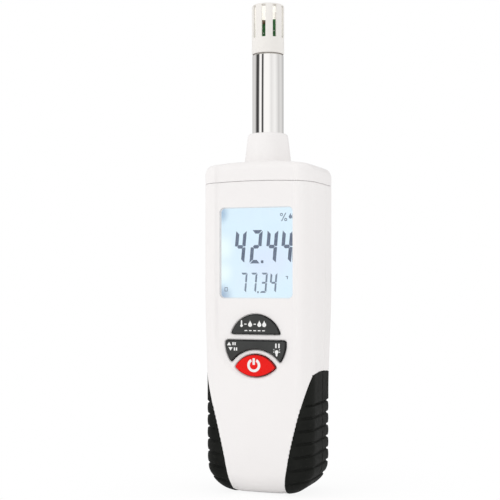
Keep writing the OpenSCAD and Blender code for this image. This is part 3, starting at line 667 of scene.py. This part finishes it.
def section_point(q, z):
    """A ray through the right half of a section: q runs 0-1 over the front, 1-2 over the front
    corner, 2-3 over the side, 3-4 over the rear corner and 4-5 over the back."""
    w = half_width(z)
    front_in = w - 7.5 * lean_of(w)
    rear_in = w - 8 * lean_of(w)
    deep = toe_lean(z)
    front = parting_y - (6 + parting_y) * deep
    turn_y = parting_y - (9 + parting_y) * deep
    side_y = turn_y + (rear_corner_y - turn_y) * (q - 2)
    zero = np.zeros_like(q)
    turn_f = np.clip(q - 1, 0, 1) * math.pi / 2
    turn_r = np.clip(q - 3, 0, 1) * math.pi / 2
    parts = [q < 1, q < 2, q < 3, q < 4]
    ox = np.select(parts, [front_in * q, front_in, zero, rear_in], rear_in * (5 - q))
    oy = np.select(parts, [zero + front, zero + turn_y, side_y, zero + rear_corner_y], zero + 7)
    hx = np.select(parts, [zero, np.sin(turn_f), zero + 1, np.cos(turn_r)], zero)
    hy = np.select(parts, [zero - 1, -np.cos(turn_f), zero, np.sin(turn_r)], zero + 1)
    return np.stack([ox, oy, z + zero], axis=-1), np.stack([hx, hy, zero], axis=-1)


def grip_piece(name, side):
    """One grip, laid out in columns from its front edge round the side to the back."""
    rows, cols = 190, 72
    line = np.linspace(0, 1, cols)
    line = line + 0.012 * np.sin(2 * math.pi * line)
    probe = np.linspace(0.001, 4.999, 420)
    table_z = np.linspace(0, 57, 115)
    edge_q, rear_q = [], []
    for z in table_z:
        o, h = section_point(probe, np.full_like(probe, z))
        p = cast(o, h, case_gap)
        front = p[:, 1] < parting_y
        edge_q.append(np.interp(grip_edge_x(z), p[front, 0], probe[front]))
        behind = ~front & (probe > 3)
        rear_q.append(np.interp(-grip_rear_x, -p[behind, 0], probe[behind]))
    lift = np.linspace(0, 1, rows)

    def columns(z):
        """Where the columns lie in the section at heights z."""
        first = np.interp(z, table_z, edge_q)
        return first + (np.interp(z, table_z, rear_q) - first) * line

    high = np.full(cols, 50.0)
    for _ in range(6):
        o, h = section_point(columns(high), high)
        high = high * 0.4 + 0.6 * grip_arch_z(cast(o, h, case_gap)[:, 1])
    z = lift[:, None] * high[None, :]
    q = columns(z)
    o, h = section_point(q, z)
    skin = cast(o, h, case_gap)
    inside = grip_depth(skin)
    inside[:, 0] = 0
    inside[:, -1] = 0
    inside[-1, :] = 0
    near_rim = np.clip(grip_rim_r - inside, 0, grip_rim_r)
    rim = grip_rim_r - np.sqrt(np.clip(grip_rim_r**2 - near_rim**2, 0, None))
    rib = (groove_top_z - z) / groove_pitch % 1 * 2 - 1
    ribbed = (z < groove_top_z) & (z > groove_top_z - (groove_count - 1) * groove_pitch)
    pillow = rib_swell * rib * rib * ribbed * eased((q - 0.9) / 0.8)
    grooves = np.zeros_like(z)
    for k in range(groove_count):
        level = groove_top_z - k * groove_pitch + np.tan((k + 1) * groove_tilt) * (skin[..., 0] - foot_w / 2)
        across = np.abs(z - level) / groove_half
        grooves = np.maximum(grooves, 1 - eased((across - 0.45) / 0.75))
    fade = eased((inside - 1.2) / 1.4)
    parting = 0.35 * (1 - eased((np.abs(skin[..., 1] - parting_y) - 0.15) / 0.3))
    sunk = np.maximum(groove_depth * grooves * fade, parting) + pillow * fade + rim
    outer = cast(o, h, lambda p: case_gap(p) + sunk)
    inner = cast(o, h, lambda p: case_gap(p) + grip_thick)
    points = np.concatenate([outer.reshape(-1, 3), inner.reshape(-1, 3)])
    points[:, 0] *= side
    piece = new_mesh(name, points, wall_quads(rows, cols, (0, rows - 1)))
    smooth(piece, 40)
    return piece


grips = [grip_piece("rubber_grip_left", -1), grip_piece("rubber_grip_right", 1)]


# Keys, with a flat face and a rounded rim
def key_cap(name, outline):
    foot_y = -15.2
    depths = [foot_y, -18.15, -18.38, -18.55, -18.65, key_face_y + 0.02]
    piece = prism(name, outline, depths, [0, 0, -0.08, -0.26, -0.5, -0.8])
    smooth(piece, 50)
    return piece


upper_cap = key_cap("upper_key_cap", units_outline)
rocker_cap = key_cap("rocker_key_cap", rocker_outline)
power_cap = key_cap("power_key_cap", power_outline)


# Printed signs: thin raised shapes, each a closed outline in millimetres
def printed(name, shapes, y, thick=0.04):
    points, faces = [], []
    for shape in shapes:
        first, count = len(points), len(shape)
        points += [(x, y, z) for x, z in shape] + [(x, y + thick, z) for x, z in shape]
        faces.append(tuple(range(first, first + count)))
        faces.append(tuple(range(first + count, first + 2 * count))[::-1])
        faces += [tuple(first + v for v in quad) for quad in ring_quads(2, count)]
    return new_mesh(name, points, faces)


def band(cx, cz, r_out, r_in, start, end, count):
    """An arched stroke."""
    return arc(cx, cz, r_out, start, end, count) + arc(cx, cz, r_in, end, start, count)


def bar(x0, z0, x1, z1, lean=0.0):
    """A straight stroke as wide as the box from (x0, z0) to (x1, z1), leaning by a slope."""
    return [(x0, z0), (x1, z0), (x1 + lean * (z1 - z0), z1), (x0 + lean * (z1 - z0), z1)]


def drop(cx, z0, r):
    """A water drop that stands on z0."""
    cz = z0 + r
    tip = [(cx + r * 0.3, cz + r * 1.3), (cx, cz + 2.1 * r), (cx - r * 0.3, cz + r * 1.3)]
    return arc(cx, cz, r, 150, 390, 17) + tip


def thermometer(cx, z0, high):
    r = high * 0.2
    return arc(cx, z0 + r, r, 120, 420, 17) + arc(cx, z0 + high - r * 0.5, r * 0.5, 0, 180, 9)


units_signs = [thermometer(-6.3, 76.3, 3.1), bar(-5.0, 77.4, -3.9, 77.85), drop(-2.2, 76.4, 0.95)]
units_signs += [bar(-0.5, 77.4, 0.6, 77.85), drop(2.2, 76.4, 0.95), drop(4.5, 76.4, 0.95)]
units_signs += [bar(x, 74.5, x + 1.3, 74.95) for x in (-4.85, -2.75, -0.65, 1.45, 3.55)]
rocker_signs = [[(-13.3, 67.9), (-11.3, 67.9), (-12.3, 69.5)], [(-12.6, 67.1), (-11.6, 65.5), (-10.6, 67.1)]]
rocker_signs += [bar(x, 68.0, x + 0.6, 69.4) for x in (-10.7, -9.7)]
rocker_signs += [bar(x, 65.6, x + 0.6, 67.0) for x in (-10.0, -9.0)]
rocker_signs += [bar(x, 67.1, x + 0.65, 69.1) for x in (9.7, 11.15)]
rocker_signs.append(arc(10.4, 65.3, 0.85, 300, 600, 17)[:-1] + [(10.1, 63.4), (10.7, 63.4)])
rocker_signs += [bar(x, 65.1, x + 0.5, 65.5) for x in (8.8, 11.5)]
rocker_signs += [bar(x, 66.1, x + 0.3, 66.6, lean) for x, lean in ((9.15, -0.8), (11.35, 0.8))]
power_signs = [band(-0.45, 59.15, 3.1, 1.9, 118, 422, 49), bar(-1.02, 59.35, 0.12, 62.3)]
upper_signs = printed("upper_key_signs", units_signs, key_face_y)
rocker_prints = printed("rocker_key_signs", rocker_signs, key_face_y)
power_print = printed("power_key_sign", power_signs, key_face_y)


# Display: lit glass with seven-bar numbers
def numeral(sign, x0, z0, w, h, t, g, lean):
    """The bars of one number, with mitred ends that meet at small gaps."""
    m = h / 2
    u = t / 2
    inner, near = t + g * 0.3, t + g * 0.4
    top = [(g, h), (w - g, h), (w - inner, h - t), (inner, h - t)]
    left = [(0, h - g * 1.4), (0, m + g * 1.2), (u, m + g * 0.6), (t, m + u * 0.9), (t, h - t - g)]
    right = [(w - x, z) for x, z in left]
    middle = [(u + g, m), (near, m + u), (w - near, m + u), (w - u - g, m), (w - near, m - u), (near, m - u)]
    bars = {"a": top, "b": right, "c": right, "d": top, "e": left, "f": left, "g": middle}
    for k in "cde":
        bars[k] = [(x, h - z) for x, z in bars[k]]
    lit = {"4": "fgbc", "2": "abged", "7": "abc", "3": "abgcd"}[sign]
    return [[(x0 + x + z * lean, z0 + z) for x, z in bars[k]] for k in lit]


digit_lean = math.tan(math.radians(5))
large, small = [], []
for sign, x in zip("4244", (-11.4, -3.75, 3.7, 10.85)):
    large += numeral(sign, x, 105.0, 5.1, 15.1, 1.6, 0.26, digit_lean)
large.append(bar(1.75, 105.1, 2.95, 106.4))
for sign, x in zip("7734", (-8.6, -3.85, 1.1, 5.65)):
    small += numeral(sign, x, 91.7, 3.2, 9.1, 0.85, 0.2, digit_lean)
small.append(bar(-0.05, 91.6, 0.75, 92.4))
for x, z in ((11.5, 126.9), (13.5, 124.6)):
    small += [band(x, z, 0.7, 0.3, start, start + 180, 13) for start in (0, 180)]
small.append([(11.3, 123.9), (11.8, 123.9), (13.8, 127.6), (13.3, 127.6)])
small.append(drop(15.75, 125.0, 0.8))
small += [bar(13.5, 98.95, 14.6, 99.3), bar(14.1, 97.9, 14.5, 98.9)]
small += [bar(-15.8, 92.3, -14.3, 92.6), bar(-15.8, 93.9, -14.3, 94.2)]
small += [bar(-15.8, 92.6, -15.5, 93.9), bar(-14.6, 92.6, -14.3, 93.9)]
display_face = glass_low[1] - 0.04
digits = printed("display_numbers", large, display_face)
small_digits = printed("display_small_numbers", small, display_face)


# Window plate, the lit display behind it and the gasket between them
def window_outline(g):
    grow = window_grow - 0.05 + g
    return rounded_outline(window_high[0] + grow, window_low[2] - grow, window_high[2] + grow, 2.1 + g)


plate = prism("clear_window", window_outline, [window_high[1], panel_y + 0.14, panel_y + 0.04], [0, 0, -0.1])
plate.visible_shadow = False
plate.visible_diffuse = False
lit_glass = block(
    "lit_display",
    (-18.4, glass_low[1], window_low[2] - 0.9),
    (18.4, glass_high[1], window_high[2] + 0.9),
)
gasket = block(
    "display_gasket",
    (-18.6, window_high[1] + 1.15, window_low[2] - 1.2),
    (18.6, glass_low[1], window_high[2] + 1.2),
)
cut(gasket, block("gasket_hole", (-17.5, -20, window_low[2] - 0.3), (17.5, 0, window_high[2] + 0.3)))

# Guard: a capped sleeve, bored, slotted and softened on its edges
guard_low_z, guard_high_z = guard_low[2], guard_high[2]
guard_roof_z = guard_high_z - 1.4
guard_room_r = 6.6
guard = soften(rod("slotted_guard", guard_high[0], guard_low_z, guard_high_z, "Z", 144), 0.9, 5)
cut(guard, rod("guard_bore", 6.0, guard_low_z - 1, guard_low_z + 6.8, "Z", 96))
cut(guard, rod("guard_room", guard_room_r, guard_low_z + 6.6, guard_roof_z, "Z", 96))
slot_count, slot_half, slot_turn = 9, 0.925, 2.6
slot_cuts = [(-2, guard_low_z + 7.4, guard_roof_z), (-6.3, guard_high_z - 2, guard_high_z - 0.7)]
for k in range(slot_count):
    for inner_y, low, high in slot_cuts:
        slot = block("slot_cut", (-slot_half, -9, low), (slot_half, inner_y, high))
        slot.data.transform(Matrix.Rotation(math.radians(slot_turn + k * 360 / slot_count), 4, "Z"))
        cut(guard, slot)
soften(guard, 0.16, 2, 50)
smooth(guard, 35)

# Chrome tube, with a slim gap under the guard
tube_r = 7.3
tube = rod("chrome_tube", tube_r, 152.0, guard_low_z - 0.45, "Z", 160)
cut(tube, rod("tube_bore", tube_r - 1, 150, guard_low_z + 1, "Z", 96))
soften(tube, 0.15, 3)
smooth(tube, 30)

# Small parts and solder spots on the sensor board
board_face = box_mm("sensor_board")[0][1]
spot_high = 0.25
spots = [(-2.9, 214.4, 0.9, 0.6), (-2.0, 212.3, 0.6, 0.6), (-2.8, 210.4, 1.1, 0.5), (2.4, 215.9, 0.5, 0.9)]
spots += [(3.1, 213.2, 0.6, 0.5), (2.5, 211.3, 0.5, 0.8), (0.4, 216.8, 1.2, 0.6), (0.4, 213.4, 1.6, 1.0)]
spot_shapes = [
    [(x + dx, dz) for dx, dz in rounded_outline(w / 2, z - h / 2, z + h / 2, 0.2, 3)] for x, z, w, h in spots
]
board_spots = printed("board_solder_spots", spot_shapes, board_face - spot_high, spot_high)


# Materials
def linear(*tone):
    """An sRGB colour from 0 to 255, as the linear colour that nodes take."""
    return tuple(v / 255 / 12.92 if v <= 10 else ((v / 255 + 0.055) / 1.055) ** 2.4 for v in tone) + (1,)


def add(tree, kind, **values):
    """Add a node; values set its properties, or its inputs by name or number, or link them."""
    item = tree.nodes.new(kind)
    for key, value in values.items():
        if key.startswith("in_"):
            name = key[3:]
            socket = item.inputs[int(name)] if name.isdigit() else item.inputs[name.replace("_", " ")]
            if isinstance(value, bpy.types.NodeSocket):
                tree.links.new(value, socket)
            else:
                socket.default_value = value
        else:
            setattr(item, key, value)
    return item


def place_on(tree):
    return add(tree, "ShaderNodeTexCoord").outputs["Object"]


def along(tree, place, axis):
    return add(tree, "ShaderNodeSeparateXYZ", in_Vector=place).outputs[axis]


def maths(tree, operation, first, second):
    return add(tree, "ShaderNodeMath", operation=operation, in_0=first, in_1=second).outputs[0]


def vectors(tree, operation, first, second=(0, 0, 0)):
    item = add(tree, "ShaderNodeVectorMath", operation=operation, in_0=first, in_1=second)
    return item.outputs["Value" if operation == "LENGTH" else "Vector"]


def ramp(tree, value, low, high, start=0.0, end=1.0, kind="LINEAR"):
    """A number that runs from start to end while a value runs from low to high."""
    values = {"in_From_Min": low, "in_From_Max": high, "in_To_Min": start, "in_To_Max": end}
    return add(tree, "ShaderNodeMapRange", interpolation_type=kind, in_Value=value, **values).outputs[0]


def mixed(tree, mask, below, above):
    """One colour laid over another by a mask."""
    return add(tree, "ShaderNodeMix", data_type="RGBA", in_0=mask, in_6=below, in_7=above).outputs[2]


def clouds(tree, place, scale, detail):
    return add(tree, "ShaderNodeTexNoise", in_Vector=place, in_Scale=scale, in_Detail=detail).outputs[0]


def shared_group(name, inputs, output, output_kind):
    """A node group, with what it is given, where its result goes, and the place on the object."""
    group = bpy.data.node_groups.new(name, "ShaderNodeTree")
    for label, kind, value in inputs:
        socket = group.interface.new_socket(label, in_out="INPUT", socket_type=kind)
        socket.default_value = value
    group.interface.new_socket(output, in_out="OUTPUT", socket_type=output_kind)
    given = add(group, "NodeGroupInput").outputs
    return group, given, add(group, "NodeGroupOutput").inputs[0], place_on(group)


colour_kind, number_kind = "NodeSocketColor", "NodeSocketFloat"

# Slow drift between two near tones
tone_drift, given, result, place = shared_group(
    "tone_drift",
    [
        ("Tone", colour_kind, (0.8, 0.8, 0.8, 1)),
        ("Other Tone", colour_kind, (0.7, 0.7, 0.7, 1)),
        ("Scale", number_kind, 60.0),
    ],
    "Tone",
    colour_kind,
)
share = ramp(tone_drift, clouds(tone_drift, place, given["Scale"], 3.0), 0.35, 0.65)
tone_drift.links.new(mixed(tone_drift, share, given["Tone"], given["Other Tone"]), result)

# Fine moulded or cast grain
surface_grain, given, result, place = shared_group(
    "surface_grain",
    [("Scale", number_kind, 2500.0), ("Depth", number_kind, 0.00002)],
    "Normal",
    "NodeSocketVector",
)
speck = clouds(surface_grain, place, given["Scale"], 2.0)
relief = add(surface_grain, "ShaderNodeBump", in_Height=speck, in_Distance=given["Depth"])
surface_grain.links.new(relief.outputs[0], result)

# Uneven polish
polish_drift, given, result, place = shared_group(
    "polish_drift",
    [("Low", number_kind, 0.3), ("High", number_kind, 0.4), ("Scale", number_kind, 200.0)],
    "Roughness",
    number_kind,
)
cloud = clouds(polish_drift, place, given["Scale"], 3.0)
polish_drift.links.new(ramp(polish_drift, cloud, 0.3, 0.7, given["Low"], given["High"]), result)


def finish(name, tone, other, rough, scale, grain=(2500, 0.00001), **constants):
    """A material with a drift of tone, an uneven polish and a fine grain."""
    material = bpy.data.materials.new(name)
    material.use_nodes = True
    tree = material.node_tree
    shader = tree.nodes["Principled BSDF"]
    for key, value in constants.items():
        shader.inputs[key.replace("_", " ")].default_value = value
    tones = {"node_tree": tone_drift, "in_Tone": linear(*tone), "in_Other_Tone": linear(*other)}
    polish = {"node_tree": polish_drift, "in_Low": rough[0], "in_High": rough[1]}
    relief = {"node_tree": surface_grain, "in_Scale": grain[0], "in_Depth": grain[1]}
    for socket, values in (
        ("Base Color", {**tones, "in_Scale": scale}),
        ("Roughness", {**polish, "in_Scale": scale * 4}),
        ("Normal", relief),
    ):
        tree.links.new(add(tree, "ShaderNodeGroup", **values).outputs[0], shader.inputs[socket])
    return material


def overlay(material, mask, tone):
    """Lay a tone over the material's own colour by a mask."""
    tree = material.node_tree
    socket = tree.nodes["Principled BSDF"].inputs["Base Color"]
    tree.links.new(mixed(tree, mask, socket.links[0].from_socket, linear(*tone)), socket)


def rim_painted_shade(material, tone):
    """Paint shade onto a key's rounded rim and its sides, where they sit in the gap."""
    tree = material.node_tree
    depth = along(tree, place_on(tree), "Y")
    painted_shade_from, painted_shade_to = (key_face_y + 0.03) * MM, (key_face_y + 0.35) * MM
    overlay(material, ramp(tree, depth, painted_shade_from, painted_shade_to, kind="SMOOTHSTEP"), tone)


# Finishes of the visible pieces: two tones, roughness, scale of the drift, scale and depth of the grain
shell_grain = (1800, 0.000012)
print_grain = (3000, 0.000001)
white_abs = finish("white_abs", (244, 241, 240), (242, 239, 238), (0.36, 0.44), 25, shell_grain)
grip_rubber = finish(
    "grip_rubber", (31, 32, 30), (26, 27, 25), (0.5, 0.62), 120, (3000, 0.00002), Specular_IOR_Level=0.06
)
key_dark = finish(
    "key_dark", (59, 60, 59), (54, 55, 54), (0.42, 0.5), 150, (3200, 0.00001), Specular_IOR_Level=0.4
)
# Painted shade on the rims of the dark keys
rim_painted_shade(key_dark, (18, 18, 18))
key_red = finish(
    "key_red", (238, 26, 20), (232, 20, 16), (0.25, 0.32), 150, (3200, 0.000004), Specular_IOR_Level=0.2
)
# Painted shade on the rim of the red key
rim_painted_shade(key_red, (150, 8, 6))
print_white = finish("print_white", (244, 244, 243), (236, 236, 235), (0.45, 0.55), 300, (3000, 0.000004))
slate = finish("display_slate", (92, 104, 126), (104, 116, 136), (0.5, 0.6), 300, print_grain)
slate_light = finish("display_slate_light", (112, 126, 146), (124, 138, 156), (0.5, 0.6), 300, print_grain)
solder = finish(
    "solder_spots", (190, 196, 190), (120, 132, 124), (0.3, 0.45), 700, (2200, 0.00003), Metallic=0.6
)
window_clear = finish(
    "window_clear", (252, 254, 255), (248, 252, 255), (0.015, 0.03), 30, (400, 0.0000005),
    Transmission_Weight=1.0, IOR=1.46,
)

# The lit display: pale blue, with painted shade deepening its two left corners and a painted highlight haze on
# the left
lcd = bpy.data.materials.new("lit_display")
lcd.use_nodes = True
tree = lcd.node_tree
place = place_on(tree)
glow = mixed(tree, clouds(tree, place, 70.0, 1.0), linear(220, 243, 250), linear(224, 238, 252))
for x, z, reach_x, reach_z, core, tone in (
    (5, 106, 16, 12, 0.25, (222, 234, 251)),
    (-16.5, 112, 7, 9, 0.1, (240, 254, 253)),
    (-16.5, 101, 6, 7, 0.1, (240, 254, 254)),
    (-17.6, 127.8, 5, 6, 0.1, (166, 192, 216)),
    (-17.6, 90.6, 7, 6, 0.1, (160, 182, 206)),
):
    moved = vectors(tree, "SUBTRACT", place, (x * MM, 0, z * MM))
    scaled = vectors(tree, "MULTIPLY", moved, (1 / (reach_x * MM), 0, 1 / (reach_z * MM)))
    fade = ramp(tree, vectors(tree, "LENGTH", scaled), core, 1.0, 1.0, 0.0, "SMOOTHSTEP")
    glow = mixed(tree, fade, glow, linear(*tone))
shader = tree.nodes["Principled BSDF"]
tree.links.new(glow, shader.inputs["Emission Color"])
shader.inputs["Emission Strength"].default_value = 1.0
shader.inputs["Base Color"].default_value = (0.03, 0.035, 0.04, 1)
shader.inputs["Roughness"].default_value = 0.35

# The guard: a painted glow brightens the room inside, in place of light through its thin wall, and a painted
# shadow line darkens its foot
guard_white_painted_light = finish(
    "guard_white_painted_light", (239, 236, 232), (236, 232, 227), (0.36, 0.44), 25, shell_grain, Emission_Strength=0.36
)
tree = guard_white_painted_light.node_tree
place = place_on(tree)
height = along(tree, place, "Z")
from_axis = vectors(tree, "LENGTH", vectors(tree, "MULTIPLY", place, (1, 1, 0)))
# Painted glow: emission inside the room, below its roof
room_painted_glow = ramp(tree, from_axis, (guard_room_r + 0.02) * MM, (guard_room_r + 0.08) * MM, 1.0, 0.0)
room_painted_glow = maths(tree, "MULTIPLY", room_painted_glow, maths(tree, "LESS_THAN", height, (guard_roof_z + 0.05) * MM))
glow = mixed(tree, room_painted_glow, (0, 0, 0, 1), (1, 0.99, 0.95, 1))
tree.links.new(glow, tree.nodes["Principled BSDF"].inputs["Emission Color"])
# Painted shadow: a dark line round the guard's foot, where it meets the tube
foot_painted_shadow = ramp(tree, height, (guard_low_z + 0.1) * MM, (guard_low_z + 0.3) * MM, 1.0, 0.0, "SMOOTHSTEP")
overlay(guard_white_painted_light, foot_painted_shadow, (118, 106, 104))

# Finishes by slot, for the new pieces and for the CAD nodes that stay
slot_finish = {
    "window_clear": window_clear,
    "display": lcd,
    "foam": finish("pale_foam", (228, 232, 234), (214, 218, 222), (0.8, 0.9), 500, (1500, 0.00008)),
    "inner_plastic": finish(
        "inner_plastic", (226, 225, 214), (220, 218, 206), (0.45, 0.55), 80, (1800, 0.00001)
    ),
    "backlight": finish("backlight_plate", (232, 242, 250), (224, 238, 250), (0.3, 0.4), 60, (1500, 0.00001)),
    "strip_rubber": finish("strip_rubber", (224, 176, 190), (210, 160, 176), (0.5, 0.6), 400, (2500, 0.00002)),
    "board": finish("green_board", (34, 104, 48), (20, 78, 34), (0.3, 0.4), 500, (2200, 0.00002)),
    "chip": finish("chip_black", (30, 30, 33), (24, 24, 27), (0.45, 0.55), 300, (3000, 0.00001)),
    "steel": finish(
        "zinc_steel", (190, 192, 194), (170, 172, 176), (0.28, 0.4), 200, (2500, 0.000008), Metallic=1.0
    ),
    "chrome": finish(
        "chrome", (252, 250, 248), (250, 247, 245), (0.03, 0.05), 40, (900, 0.000002), Metallic=1.0
    ),
    "capacitor": finish("capacitor_sleeve", (62, 72, 108), (52, 62, 98), (0.3, 0.4), 200, (2500, 0.000005)),
    "mat_rubber": finish("keypad_rubber", (150, 154, 158), (140, 144, 148), (0.5, 0.6), 150),
    "cable": finish("cable_grey", (72, 74, 78), (64, 66, 70), (0.45, 0.55), 200),
    "seal": finish("seal_black", (26, 26, 27), (20, 20, 21), (0.4, 0.5), 200, (3000, 0.00001)),
    "sensor": finish("sensor_cream", (214, 208, 188), (204, 198, 178), (0.45, 0.55), 400),
    "bead": finish("bead_brown", (98, 74, 50), (78, 58, 40), (0.2, 0.3), 900),
    "battery_jacket": finish(
        "battery_jacket", (58, 62, 132), (50, 54, 120), (0.3, 0.38), 80, (1200, 0.000004), Metallic=0.5
    ),
    "snap_vinyl": finish("snap_vinyl", (28, 28, 29), (22, 22, 23), (0.4, 0.5), 200, (2500, 0.00002)),
    "lead_red": finish("wire_red", (188, 26, 20), (170, 20, 16), (0.4, 0.5), 300),
    "lead_black": finish("wire_black", (24, 24, 25), (18, 18, 19), (0.4, 0.5), 300),
}


def settle(piece, material, slot, *stands_for, body="case"):
    """Give a new piece its finish and its body, and hide the CAD nodes that it stands for. The slot is not
    used.
    """
    piece.data.materials.clear()
    piece.data.materials.append(material)
    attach(piece, body)
    if stands_for:
        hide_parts(*stands_for)


settle(front_shell, white_abs, "white_plastic", "front_housing")
settle(rear_shell, white_abs, "white_plastic", "rear_housing")
settle(top_shell, white_abs, "white_plastic", "top_cap")
settle(grips[0], grip_rubber, "grip_rubber", "grip_left")
settle(grips[1], grip_rubber, "grip_rubber", "grip_right")
settle(door, white_abs, "white_plastic", "battery_door", body="door")
settle(guard, guard_white_painted_light, "white_plastic", "sensor_guard", body="guard")
settle(plate, window_clear, "window_clear", "display_window")
settle(lit_glass, lcd, "display", "display_glass")
settle(gasket, slot_finish["foam"], "foam", "window_gasket")
settle(tube, slot_finish["chrome"], "chrome", "probe_tube")
settle(upper_cap, key_dark, "key_plastic", "units_key", body="upper_key")
settle(rocker_cap, key_dark, "key_plastic", "rocker_key", body="rocker")
settle(power_cap, key_red, "power_plastic", "power_key", body="power")
settle(upper_signs, print_white, "white_plastic", body="upper_key")
settle(rocker_prints, print_white, "white_plastic", body="rocker")
settle(power_print, print_white, "white_plastic", body="power")
settle(digits, slate, "display")
settle(small_digits, slate_light, "display")
settle(board_spots, solder, "board")
for row in frame["record"]["subparts"]:
    if row["material_slot"] in slot_finish:
        for slot in nodes[row["node"]].material_slots:
            slot.material = slot_finish[row["material_slot"]]

# Camera at the photograph's angle
photo_px = 500
focal_px = 1100
camera_turn = math.radians(19.6)
camera_away = 512
camera_high = 97.5
aim_offset = 18 * camera_away / focal_px
horizon_drop_px = 30
camera_data = bpy.data.cameras.new("camera")
camera = bpy.data.objects.new("camera", camera_data)
bpy.context.scene.collection.objects.link(camera)
camera_data.sensor_width = 36
camera_data.lens = focal_px / photo_px * 36
camera_data.shift_y = horizon_drop_px / photo_px
camera_data.clip_start = 0.01
camera_data.clip_end = 20
camera.location = Vector(
    (
        camera_away * math.sin(camera_turn) - aim_offset * math.cos(camera_turn),
        -camera_away * math.cos(camera_turn) - aim_offset * math.sin(camera_turn),
        camera_high,
    )
) * MM
camera.rotation_euler = (math.radians(90), 0, camera_turn)
bpy.context.scene.camera = camera

# Floor: white paper that keeps a soft shadow close to the object
bpy.ops.mesh.primitive_circle_add(vertices=128, radius=3, fill_type="NGON", location=(0, 0, -0.0002))
floor = bpy.context.object
floor.name = "floor"
floor_paper = bpy.data.materials.new("floor_paper")
floor_paper.use_nodes = True
tree = floor_paper.node_tree
tree.nodes.clear()

path = add(tree, "ShaderNodeLightPath").outputs
far = ramp(tree, vectors(tree, "LENGTH", place_on(tree)), 0.03, 0.11, 0.9, 1.0)
seen = maths(tree, "MAXIMUM", path["Is Camera Ray"], path["Is Glossy Ray"])
seen = maths(tree, "MAXIMUM", seen, path["Is Transmission Ray"])
paper = add(tree, "ShaderNodeBsdfDiffuse", in_Color=(0.98, 0.98, 0.98, 1)).outputs[0]
glow = add(tree, "ShaderNodeEmission", in_Strength=1.0).outputs[0]
mix = add(tree, "ShaderNodeMixShader", in_0=maths(tree, "MULTIPLY", seen, far), in_1=paper, in_2=glow)
add(tree, "ShaderNodeOutputMaterial", in_Surface=mix.outputs[0])
floor.data.materials.append(floor_paper)
floor.visible_glossy = False

# Studio: white to the camera, softer to the object, with dark flags that only reflections see
flag_stops = [
    (-180, 0.6), (-121, 0.66), (-103, 0.7), (-90, 0.66), (-83, 0.5), (-77, 0.16), (-67, 0.04), (-55, 0.07),
    (-50, 0.4), (-45.5, 0.95), (-33, 1.0), (-30, 0.7), (-27.3, 0.07), (-18.8, 0.05), (-15.5, 0.35),
    (-12, 0.92), (-8, 1.0), (22, 1.0), (30, 0.95), (37, 0.86), (44, 0.8), (52, 0.85), (68, 0.92), (76, 0.9),
    (84, 0.82), (93, 0.75), (102, 0.62), (112, 0.67), (124, 0.74), (137, 0.7), (150, 0.55),
]
world = bpy.data.worlds.new("studio")
bpy.context.scene.world = world
world.use_nodes = True
tree = world.node_tree
sky = tree.nodes["Background"]
path = add(tree, "ShaderNodeLightPath").outputs
around = add(tree, "ShaderNodeTexCoord").outputs["Generated"]
back = maths(tree, "MULTIPLY", along(tree, around, "Y"), -1.0)
angle = maths(tree, "ARCTAN2", along(tree, around, "X"), back)
flags = add(tree, "ShaderNodeValToRGB", in_Fac=ramp(tree, angle, -math.pi, math.pi))
stops = flags.color_ramp.elements
while len(stops) < len(flag_stops):
    stops.new(0.5)
for stop, (degrees, level) in zip(stops, flag_stops):
    stop.position = (degrees + 180) / 360
    stop.color = (level, level, level, 1)
direct = maths(tree, "MAXIMUM", path["Is Camera Ray"], path["Is Transmission Ray"])
ambient = mixed(tree, path["Is Glossy Ray"], (0.88, 0.88, 0.88, 1), flags.outputs[0])
tree.links.new(mixed(tree, direct, ambient, (1, 1, 1, 1)), sky.inputs["Color"])
sky.inputs["Strength"].default_value = 1.0


def lamp(name, side, power, place):
    """A square lamp that lights the object and stays out of reflections."""
    data = bpy.data.lights.new(name, "AREA")
    data.shape = "RECTANGLE"
    data.size = data.size_y = side
    data.energy = power
    lamp_object = bpy.data.objects.new(name, data)
    bpy.context.scene.collection.objects.link(lamp_object)
    lamp_object.location = place
    lamp_object.visible_glossy = False
    aim = Vector((0, 0, 0.11)) - Vector(place)
    lamp_object.rotation_euler = aim.to_track_quat("-Z", "Y").to_euler()


lamp("key_lamp", 0.8, 5.0, (-0.9, -0.95, 1.1))
lamp("fill_lamp", 0.9, 1.6, (1.15, 0.5, 0.6))
bpy.context.scene.view_settings.view_transform = "Standard"
